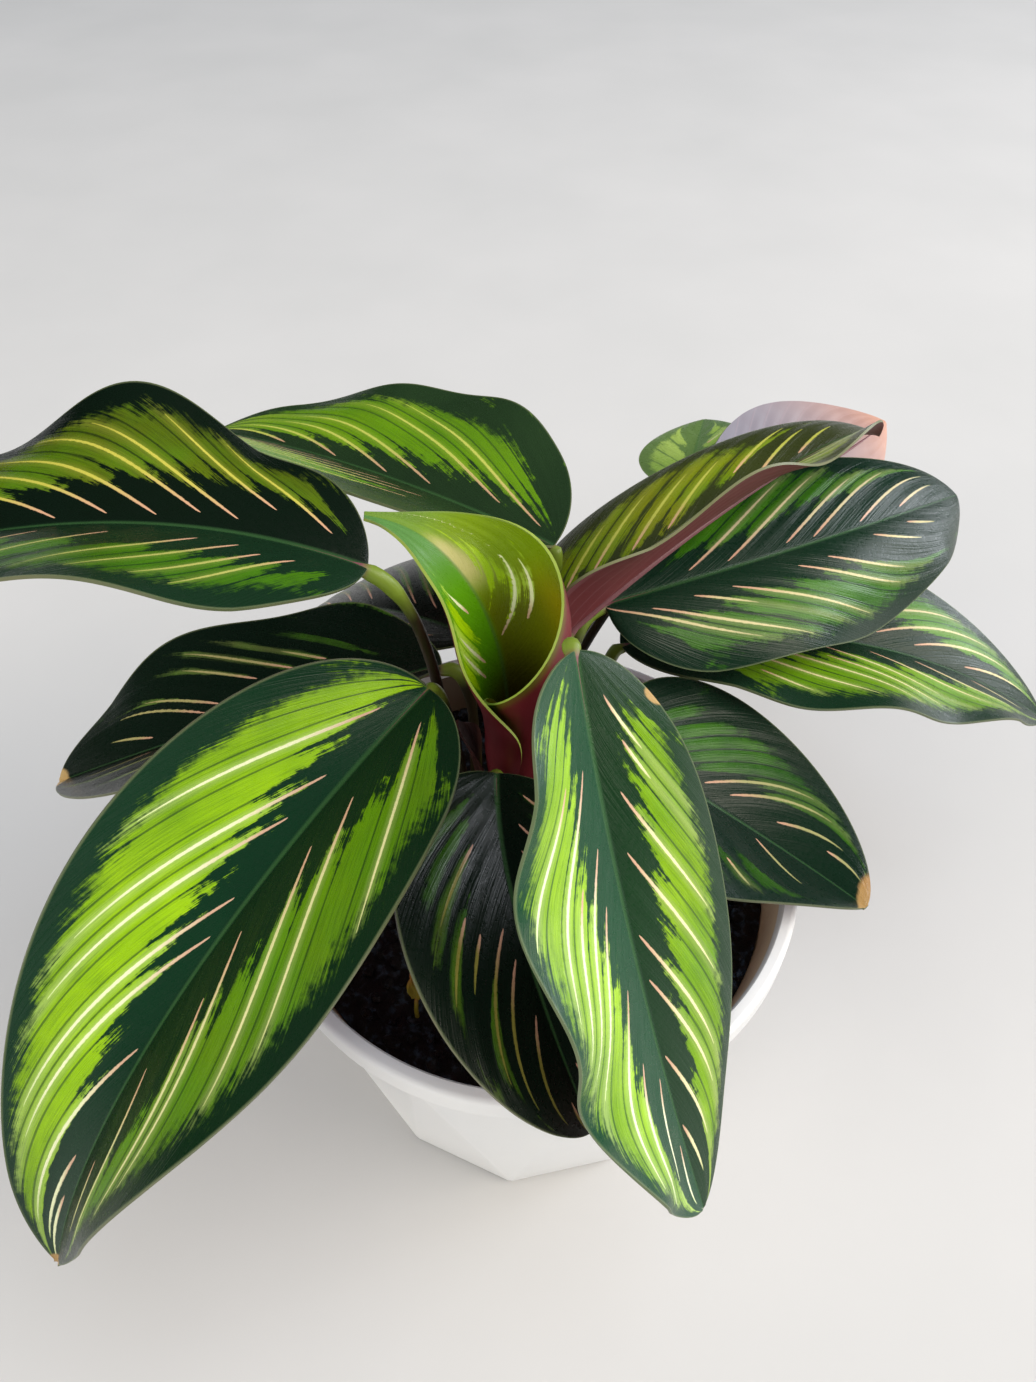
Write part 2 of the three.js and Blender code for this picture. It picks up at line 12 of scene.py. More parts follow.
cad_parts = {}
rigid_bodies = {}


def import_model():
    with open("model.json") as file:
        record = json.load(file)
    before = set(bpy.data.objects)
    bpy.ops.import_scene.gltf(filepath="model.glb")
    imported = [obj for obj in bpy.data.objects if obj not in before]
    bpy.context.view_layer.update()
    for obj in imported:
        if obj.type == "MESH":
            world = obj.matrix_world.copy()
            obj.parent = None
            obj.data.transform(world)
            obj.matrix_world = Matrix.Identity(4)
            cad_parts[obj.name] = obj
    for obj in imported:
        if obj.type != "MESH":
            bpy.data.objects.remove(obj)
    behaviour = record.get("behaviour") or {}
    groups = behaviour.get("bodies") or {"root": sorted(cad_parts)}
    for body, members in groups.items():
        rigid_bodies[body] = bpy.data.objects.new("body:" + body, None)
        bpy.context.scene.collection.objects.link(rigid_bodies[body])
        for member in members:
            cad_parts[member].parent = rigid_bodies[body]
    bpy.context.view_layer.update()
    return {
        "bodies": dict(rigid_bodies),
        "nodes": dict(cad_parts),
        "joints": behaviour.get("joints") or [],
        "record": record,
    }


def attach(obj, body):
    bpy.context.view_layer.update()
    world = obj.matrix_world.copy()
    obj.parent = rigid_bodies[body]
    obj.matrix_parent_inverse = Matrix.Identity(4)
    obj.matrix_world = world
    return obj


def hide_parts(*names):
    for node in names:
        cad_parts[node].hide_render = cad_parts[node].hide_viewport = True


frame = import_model()

# ---------------------------------------------------------------------------------------------
# The room: a pale matt floor, and the photograph's viewpoint above the pot's front. A broad window
# stands high on the right and a smaller one low behind it, skylight falls from above, and the wall
# on the left gives back a warm light. The leaves mirror the two windows and the floor alone.


def linear(hex_colour):
    """An sRGB hex colour as linear red, green, blue and alpha."""
    channels = [int(hex_colour[i : i + 2], 16) / 255 for i in (1, 3, 5)]
    curved = [c / 12.92 if c <= 0.04045 else ((c + 0.055) / 1.055) ** 2.4 for c in channels]
    return (*curved, 1.0)


def set_inputs(node, inputs):
    """Sets or links inputs, named or numbered. Text is a hex colour, From and To are ranges."""
    for name, value in inputs.items():
        if name in ("From", "To"):
            set_inputs(node, {name + " Min": value[0], name + " Max": value[1]})
            continue
        if isinstance(name, int):
            socket = node.inputs[name]
        else:
            socket = next(s for s in node.inputs if s.name == name and s.enabled)
        if isinstance(value, bpy.types.NodeSocket):
            node.id_data.links.new(value, socket)
        else:
            socket.default_value = linear(value) if isinstance(value, str) else value


# Unless its settings say otherwise, a Mix node blends colours and a Math node multiplies
USUAL_SETTINGS = {"Mix": {"data_type": "RGBA"}, "Math": {"operation": "MULTIPLY"}}


def add_node(tree, kind, inputs=None, output=None, **settings):
    """Adds a node with its settings and inputs, and gives its named output or the one in use."""
    node = tree.nodes.new("ShaderNode" + kind)
    for name, value in {**USUAL_SETTINGS.get(kind, {}), **settings}.items():
        setattr(node, name, value)
    set_inputs(node, inputs or {})
    return node.outputs[output] if output else next(s for s in node.outputs if s.enabled)


def new_material(name):
    """An empty material, the call that adds a node to it, and its surface shader."""
    material = bpy.data.materials.new(name)
    material.use_nodes = True
    tree = material.node_tree
    return material, functools.partial(add_node, tree), tree.nodes["Principled BSDF"]


def select_only(*pieces):
    """Selects these pieces alone, or nothing, for the next operator. The first becomes active."""
    bpy.ops.object.select_all(action="DESELECT")
    for piece in pieces:
        piece.select_set(True)
    if pieces:
        bpy.context.view_layer.objects.active = pieces[0]


FLOOR_WIDTH = 8.0
FLOOR_DROP = 0.0003  # the floor lies this far under the pot, so that the two never share a face

select_only()
bpy.ops.mesh.primitive_plane_add(size=FLOOR_WIDTH, location=(0, 0, -FLOOR_DROP))
floor = bpy.context.active_object
floor.name = "floor"

# Lime-washed board, matt: soft cloudy stains a hand wide
limewash, add, surface = new_material("limewashed board")
place = add("TexCoord", output="Object")
clouds = add("TexNoise", {"Vector": place, "Scale": 9.0, "Detail": 3.0})
tone = add("Mix", {"Factor": clouds, "A": "#c1c1bf", "B": "#cdccca"})
set_inputs(surface, {"Base Color": tone, "Roughness": 0.85})
floor.data.materials.append(limewash)

VIEW_PITCH = 42.24  # degrees that the camera is tipped up from looking straight down
VIEW_PLACE = (-0.00286, -0.14378, 0.31408)
VIEW_LENS = 27.04  # millimetres

camera_data = bpy.data.cameras.new("camera")
camera_data.lens = VIEW_LENS
camera_data.clip_start = 0.01
camera = bpy.data.objects.new("camera", camera_data)
camera.location = VIEW_PLACE
camera.rotation_euler = (math.radians(VIEW_PITCH), 0, 0)
bpy.context.scene.collection.objects.link(camera)
bpy.context.scene.camera = camera
bpy.context.scene.view_settings.view_transform = "Standard"

CROWN = Vector((0.0, 0.03, 0.12))  # the middle of the leaves, which all the lights face

for name, place, size, power, colour, mirrored in (
    ("window", (1.47, -0.3, 1.25), 1.3, 26.0, "#fff4e6", True),
    ("skylight", (0.35, -0.15, 1.9), 0.8, 5.0, "#e9f0ff", False),
    ("low_window", (1.45, 0.68, 0.5), 0.6, 9.0, "#f4f7ff", True),
    ("bounce", (-1.3, -0.9, 0.9), 1.4, 16.0, "#fff3e0", False),
):
    lamp = bpy.data.lights.new(name, "AREA")
    lamp.size = size
    lamp.energy = power
    lamp.color = linear(colour)[:3]
    light = bpy.data.objects.new(name, lamp)
    light.location = place
    light.rotation_euler = (CROWN - Vector(place)).to_track_quat("-Z", "Y").to_euler()
    light.visible_glossy = mirrored
    bpy.context.scene.collection.objects.link(light)

world = bpy.data.worlds.new("room")
world.use_nodes = True
set_inputs(world.node_tree.nodes["Background"], {"Color": "#e6ebf3", "Strength": 0.84})
bpy.context.scene.world = world
world.cycles_visibility.glossy = False

# ---------------------------------------------------------------------------------------------
# The pot: white polypropylene, injection moulded in one piece, with ten flat triangles that stand
# on the base and ten that hang from the shoulder, under a smooth round rim band.

RIM_RADIUS = 0.065
POT_HEIGHT = 0.102
BAND_HEIGHT = 0.008
BASE_RADIUS = 0.0484
SHOULDER_RADIUS = 0.064
SHOULDER_HEIGHT = 0.097
POT_SIDES = 10
FACET_START = -96  # degrees: where the first corner of the base stands
FIRST_CORNER = 90  # degrees: where a cone primitive puts its own first corner
MOUTH_RADIUS = 0.061
NECK_RADIUS = 0.0585
NECK_HEIGHT = 0.088
WELL_RADIUS = 0.0442
FLOOR_THICKNESS = 0.0025
RIM_SIDES = 144
FACET_EDGE = 0.0007  # the moulded edges between the triangles are eased by this much
RIM_ROUNDING = 0.0014
RING_DEPTH = 0.0003  # points this close under the top belong to the top ring


def apply_modifier(piece, kind, **settings):
    """Adds a modifier with its settings and applies it."""
    select_only(piece)
    modifier = piece.modifiers.new(kind.title(), kind)
    for name, value in settings.items():
        setattr(modifier, name, value)
    bpy.ops.object.modifier_apply(modifier=modifier.name)


def settle(piece):
    """Puts a piece's place into its mesh, and its object at the origin."""
    select_only(piece)
    bpy.ops.object.transform_apply(location=True, rotation=True, scale=True)


def edit(piece, chosen=None):
    """Opens a piece in edit mode with only the chosen vertices selected, or all of them."""
    select_only(piece)
    bpy.ops.object.mode_set(mode="EDIT")
    bpy.ops.mesh.select_mode(type="VERT")
    bpy.ops.mesh.select_all(action="SELECT" if chosen is None else "DESELECT")
    if chosen is not None:
        bpy.ops.object.mode_set(mode="OBJECT")
        for vertex in piece.data.vertices:
            vertex.select = chosen(vertex.co)
        bpy.ops.object.mode_set(mode="EDIT")


def face_outward(piece, weld=0.0):
    """Welds the points that lie closer than a distance, and turns every face outward."""
    edit(piece)
    if weld:
        bpy.ops.mesh.remove_doubles(threshold=weld)
    bpy.ops.mesh.normals_make_consistent(inside=False)
    bpy.ops.object.mode_set(mode="OBJECT")


select_only()
bpy.ops.mesh.primitive_cone_add(
    vertices=POT_SIDES, radius1=BASE_RADIUS, radius2=SHOULDER_RADIUS, depth=SHOULDER_HEIGHT,
    location=(0, 0, SHOULDER_HEIGHT / 2), rotation=(0, 0, math.radians(FACET_START - FIRST_CORNER)),
)
grow_pot = bpy.context.active_object
grow_pot.name = "grow_pot"
settle(grow_pot)
edit(grow_pot, lambda place: place.z > SHOULDER_HEIGHT / 2)
bpy.ops.transform.rotate(
    value=math.radians(180 / POT_SIDES), orient_axis="Z", center_override=(0, 0, SHOULDER_HEIGHT)
)
bpy.ops.mesh.select_all(action="SELECT")
bpy.ops.mesh.quads_convert_to_tris(quad_method="SHORTEST_DIAGONAL", ngon_method="CLIP")
bpy.ops.object.mode_set(mode="OBJECT")
apply_modifier(
    grow_pot, "BEVEL", width=FACET_EDGE, segments=3, limit_method="ANGLE", angle_limit=math.radians(8)
)

select_only()
bpy.ops.mesh.primitive_cylinder_add(
    vertices=RIM_SIDES, radius=RIM_RADIUS, depth=BAND_HEIGHT,
    location=(0, 0, POT_HEIGHT - BAND_HEIGHT / 2),
)
band = bpy.context.active_object
settle(band)
apply_modifier(
    band, "BEVEL", width=RIM_ROUNDING, segments=4, limit_method="ANGLE", angle_limit=math.radians(60)
)
apply_modifier(grow_pot, "BOOLEAN", operation="UNION", object=band, solver="EXACT")

select_only()
bpy.ops.mesh.primitive_cone_add(
    vertices=RIM_SIDES, radius1=WELL_RADIUS, radius2=NECK_RADIUS, depth=NECK_HEIGHT - FLOOR_THICKNESS,
    location=(0, 0, (NECK_HEIGHT + FLOOR_THICKNESS) / 2),
)
well = bpy.context.active_object
settle(well)
# The mouth flares in three steps, each drawn out of the one below it
for radius, height in (
    (MOUTH_RADIUS, POT_HEIGHT - 2 * RIM_ROUNDING),
    (MOUTH_RADIUS + RIM_ROUNDING / 3, POT_HEIGHT - RIM_ROUNDING / 2),
    (MOUTH_RADIUS + RIM_ROUNDING, POT_HEIGHT + RIM_ROUNDING / 3),
):
    top = max(vertex.co.z for vertex in well.data.vertices)
    below = max(vertex.co.x for vertex in well.data.vertices if vertex.co.z > top - RING_DEPTH)
    edit(well, lambda place: place.z > top - RING_DEPTH)
    bpy.ops.mesh.extrude_region_move(TRANSFORM_OT_translate={"value": (0, 0, height - top)})
    bpy.ops.transform.resize(value=(radius / below, radius / below, 1), center_override=(0, 0, height))
    bpy.ops.object.mode_set(mode="OBJECT")
apply_modifier(grow_pot, "BOOLEAN", operation="DIFFERENCE", object=well, solver="EXACT")
bpy.data.objects.remove(band)
bpy.data.objects.remove(well)
face_outward(grow_pot, weld=0.00001)
bpy.ops.object.shade_smooth_by_angle(angle=math.radians(32))
apply_modifier(grow_pot, "WEIGHTED_NORMAL", mode="FACE_AREA", weight=80, keep_sharp=True)

# White polypropylene, moulded: satin, a little see-through at the rim, with faint flow clouds
polypropylene, add, surface = new_material("moulded white polypropylene")
place = add("TexCoord", output="Object")
clouds = add("TexNoise", {"Vector": place, "Scale": 28.0, "Detail": 2.0})
white = add("Mix", {"Factor": clouds, "A": "#e3e4e3", "B": "#efefed"})
satin = add("MapRange", {"Value": clouds, "To": (0.26, 0.36)})
grain = add("TexNoise", {"Vector": place, "Scale": 900.0, "Detail": 1.0})
relief = add("Bump", {"Height": grain, "Strength": 0.08, "Distance": 0.0002})
set_inputs(surface, {
    "Base Color": white, "Roughness": satin, "Normal": relief, "IOR": 1.49, "Subsurface Weight": 0.15,
    "Subsurface Radius": (1.0, 0.95, 0.9), "Subsurface Scale": 0.004,
})

# The same plastic inside: tan that is partly a stain from watering and the wet mix and partly
# painted warm shade; deeper in it darkens further, and toward the back it is painted nearly black
# as the shade under the leaves
stain_and_shade_inside, add, surface = new_material("soil-stained and shade-painted polypropylene")
place = add("TexCoord", output="Object")
splashes = add("TexNoise", {"Vector": place, "Scale": 130.0, "Detail": 4.0, "Roughness": 0.7})
height = add("SeparateXYZ", {"Vector": place}, output="Z")
# Deeper in, the tan darkens in splashes: partly stain, partly painted shade in the recess
depth = add("MapRange", {"Value": height, "From": (SHOULDER_HEIGHT + 0.001, NECK_HEIGHT + 0.003)})
stain_and_shade_depth = add("Math", {0: depth, 1: splashes})
tan = add("Mix", {"Factor": stain_and_shade_depth, "A": "#ecd3b4", "B": "#a87c58"})
# Painted shade: the wall turns nearly black toward the back, where the leaves shade it
to_back = add("SeparateXYZ", {"Vector": place}, output="Y")
back = add("MapRange", {"Value": to_back, "From": (0.0, NECK_RADIUS), "To": (0, 0.85)})
tan = add("Mix", {"Factor": back, "A": tan, "B": "#241a12"})
set_inputs(surface, {"Base Color": tan, "Roughness": 0.5})
grow_pot.data.materials.clear()
grow_pot.data.materials.append(polypropylene)
grow_pot.data.materials.append(stain_and_shade_inside)
for face in grow_pot.data.polygons:
    inward = face.normal.x * face.center.x + face.normal.y * face.center.y < 0
    if inward and face.center.z < POT_HEIGHT - 2 * RIM_ROUNDING and face.center.z > FLOOR_THICKNESS:
        face.material_index = 1
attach(grow_pot, "root")
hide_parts("pot")

# ---------------------------------------------------------------------------------------------
# The potting mix: black peat with bark chips, wet from watering, filled to a finger under the rim
# and pressed down along the pot's wall.

MIX_HEIGHT = 0.0895
MIX_LUMP = 0.0014
LUMPS_PER_METRE = 40
CRUMBS_PER_METRE = 260
CRUMB_SHARE = 0.45  # how high the crumbs stand beside the lumps
MIX_CLEARANCE = 0.0003
MIX_SINK = 0.002  # how far the mix is pressed down along the pot's wall
MIX_GRID = 120
CHIPS = 420
CHIP_SIZES = (0.0009, 0.0026)
CHIP_WIDTHS = (0.5, 0.9)  # shares of a chip's size
CHIP_HEIGHTS = (0.3, 0.55)
CHIP_TILT = 0.5  # radians either way
CHIP_TURN = math.radians(137.5)  # from each chip to the next, which spreads them evenly
CHIP_SCATTER = 0.001
CHIPS_RADIUS = MOUTH_RADIUS - 0.0055


def shaped_grid(name, rows, columns, place):
    """A grid whose points go where place(share along, share across from -1 to 1) says."""
    select_only()
    bpy.ops.mesh.primitive_grid_add(x_subdivisions=rows, y_subdivisions=columns, size=2)
    piece = bpy.context.active_object
    piece.name = name
    piece.data.name = name
    for vertex in piece.data.vertices:
        vertex.co = place((vertex.co.x + 1) / 2, vertex.co.y)
    return piece


def mix_lump(x, y):
    """How far the top of the mix stands over or under its mean height."""
    broad = noise.noise(Vector((x * LUMPS_PER_METRE, y * LUMPS_PER_METRE, 0.5)))
    crumbs = noise.fractal(Vector((x * CRUMBS_PER_METRE, y * CRUMBS_PER_METRE, 3.0)), 0.7, 2.0, 3)
    return MIX_LUMP * (broad + CRUMB_SHARE * crumbs)


def mix_radius(height):
    """The pot's inside radius at a height, less the clearance."""
    share = (height - FLOOR_THICKNESS) / (NECK_HEIGHT - FLOOR_THICKNESS)
    return WELL_RADIUS + (NECK_RADIUS - WELL_RADIUS) * share - MIX_CLEARANCE


def mix_top(along, across):
    """A point of the mix's top: the square grid drawn in to a disc, sunk at its edge."""
    x = (2 * along - 1) * math.sqrt(1 - across**2 / 2)
    y = across * math.sqrt(1 - (2 * along - 1) ** 2 / 2)
    edge = mix_radius(MIX_HEIGHT - MIX_SINK)
    sunk = MIX_SINK * max(0.0, (x * x + y * y) ** 4)
    return (x * edge, y * edge, MIX_HEIGHT + mix_lump(x * edge, y * edge) - sunk)


potting_mix = shaped_grid("potting_mix", MIX_GRID, MIX_GRID, mix_top)
edit(potting_mix)
bottom = FLOOR_THICKNESS + MIX_CLEARANCE
narrowing = mix_radius(bottom) / mix_radius(MIX_HEIGHT - MIX_SINK)
bpy.ops.mesh.extrude_region_move(TRANSFORM_OT_translate={"value": (0, 0, -2 * POT_HEIGHT)})
bpy.ops.object.mode_set(mode="OBJECT")
for vertex in potting_mix.data.vertices:
    if vertex.co.z < 0:
        vertex.co.x *= narrowing
        vertex.co.y *= narrowing
        vertex.co.z = bottom
face_outward(potting_mix)
bpy.ops.object.shade_smooth_by_angle(angle=math.radians(50))

# Peat: nearly black, with dull blue glints painted in as the reflections of wet crumbs
peat, add, surface = new_material("wet peat and bark")
place = add("TexCoord", output="Object")
crumbs = add("TexNoise", {"Vector": place, "Scale": 420.0, "Detail": 5.0, "Roughness": 0.65})
patches = add("TexNoise", {"Vector": place, "Scale": 90.0, "Detail": 2.0})
browns = add("MapRange", {"Value": patches, "From": (0.45, 0.7)})
black = add("Mix", {"Factor": browns, "A": "#05070a", "B": "#14110f"})
# Painted reflections: bluish glints where the wet crumbs would mirror the light
painted_glints = add("MapRange", {"Value": crumbs, "From": (0.52, 0.68), "To": (0, 0.85)})
black = add("Mix", {"Factor": painted_glints, "A": black, "B": "#3b4d5e"})
wet = add("MapRange", {"Value": patches, "From": (0.35, 0.6), "To": (0.22, 0.7)})
relief = add("Bump", {"Height": crumbs, "Strength": 0.9, "Distance": 0.0012})
set_inputs(surface, {"Base Color": black, "Roughness": wet, "Normal": relief})
potting_mix.data.materials.append(peat)

select_only()
bpy.ops.mesh.primitive_ico_sphere_add(subdivisions=1, radius=1.0)
chip = bpy.context.active_object
chip.data.materials.append(peat)
scatter = random.Random(11)
chips = []
for count in range(CHIPS):
    turn = count * CHIP_TURN
    spread = CHIPS_RADIUS * math.sqrt((count + 0.5) / CHIPS)
    x = spread * math.cos(turn) + scatter.uniform(-CHIP_SCATTER, CHIP_SCATTER)
    y = spread * math.sin(turn) + scatter.uniform(-CHIP_SCATTER, CHIP_SCATTER)
    size = scatter.uniform(*CHIP_SIZES)
    piece = bpy.data.objects.new("chip", chip.data.copy())
    bpy.context.scene.collection.objects.link(piece)
    piece.scale = (size, size * scatter.uniform(*CHIP_WIDTHS), size * scatter.uniform(*CHIP_HEIGHTS))
    tilts = [scatter.uniform(-CHIP_TILT, CHIP_TILT) for _ in range(2)]
    piece.rotation_euler = (*tilts, scatter.uniform(0, math.tau))
    piece.location = (x, y, MIX_HEIGHT + mix_lump(x, y) + 0.0002)
    chips.append(piece)
bpy.data.objects.remove(chip)
select_only(potting_mix, *chips)
bpy.ops.object.join()
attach(potting_mix, "root")
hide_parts("soil")

# ---------------------------------------------------------------------------------------------
# The open leaves: each a thin satin blade on its own stalk, with a thick joint right under it.
# The blade grew as one sheet: dark green ground, lime bands painted out along the side veins, and
# a tapered cream stroke down the middle of most bands. Angles are in degrees.

STALK_FOOT = 0.0763  # the stalk's lower end, inside the mix
COLLAR_HEIGHT = 0.094  # the stalk stands upright to this height
STALK_RADIUS = 0.00125
STALK_LIFT = 0.45  # share of the way to the blade for which its curve is drawn upward
STALK_STOP = 0.0025  # it stops this far before the blade, where the rib goes on
JOINT_RADIUS = 0.00175
JOINT_START = 0.022  # distances from the blade at which the joint begins and is full
JOINT_FULL = 0.012
STALK_ROWS = 26
STALK_COLUMNS = 12
RIB_THICKNESS = 0.0022
RIB_RADIUS = 0.0010
RIB_START = 0.02  # the rib runs between these shares of the blade's length
RIB_END = 0.93
RIB_TAPER = 0.6
RIB_SINK = 0.35  # share of its own radius by which the rib lies under the blade
BARE_END = 0.8  # how much narrower a stalk ends where no rib follows
LEAST_HALF_WIDTH = 0.0009
BLADE_ROWS = 180
BLADE_COLUMNS = 64
BLADE_THICKNESS = 0.0006
WAVE_FADE = 1 / 6  # the margin's waves fade over this share of the length at both ends
FLAT_CURL = 0.01  # degrees: the curl of a half that has none
QUILTING = 0.00017  # how far the blade swells between two side veins
END_PITCH = 0.13  # pitch of the unpainted veins before a half's first vein and after its last
SEED_STEP = 3.7  # from one leaf's brush marks to the next leaf's
# The names under which each point of a blade holds its marks for the paint
NUMBER_MARKS = (
    "along", "reach", "offset", "inset", "vein", "pitch", "flank", "dry", "seed",
    "stroke_from", "stroke_to", "lime_from", "lime_to",
)
COLOUR_MARKS = ("ground", "lime", "stroke", "under")

# A leaf's veins, half by half, in hundredths: where the vein leaves the midrib along the blade's
# length (before 0 where it starts at the base), then where its cream stroke starts and stops on
# the way out to the margin, and where its lime band does. 100, 100 stands for none. A vein
# without a stroke gives its place and its band, and a bare vein its place alone.
USUAL_VEINS = (
    (-10, 40, 75, 40, 85), (0, 35, 85), (9, 20, 80, 30, 86), (19, 16, 80, 28, 86), (29, 12, 76, 25, 84),
    (40, 12, 72, 25, 80), (51, 10, 66, 26, 76), (63, 10, 55, 30, 66), (76, 12, 40, 100, 100),
)
USUAL_LEAF = dict(
    lean=(0, 0), turn=0, roll=0, twist=0, open=0, wave=((0, 2, 0), (0, 2, 0)), dry=(),
    under=("#7a4a50", "#7a4a50"), left=USUAL_VEINS, right=USUAL_VEINS,
)


def whole_vein(at, *ends):
    """A vein's place and the ends of its stroke and its band, as shares."""
    ends = (100,) * (4 - len(ends)) + ends
    return tuple(round(number / 100, 3) for number in (at, *ends))


def leaf_sizes(**sizes):
    """A leaf's sizes, the usual ones where none are given. Pairs give the left half first.

    The stalk leaves the mix at root and meets the blade at base. The midrib starts out there at a
    heading and rise, then turns and falls, and the blade is rolled round it and twists. It is widest
    at peak, and a low fullness means blunt ends. Each half is folded up, curls, and opens toward the
    tip. A wave has a height, a count and a phase. The veins sweep forward, a lime band reaches a
    flank's width beside its vein, and a dry spot has a place along, one across and a radius.
    """
    leaf = {**USUAL_LEAF, **sizes}
    for half in ("left", "right"):
        leaf[half] = [whole_vein(*vein) for vein in leaf[half]]
    return leaf


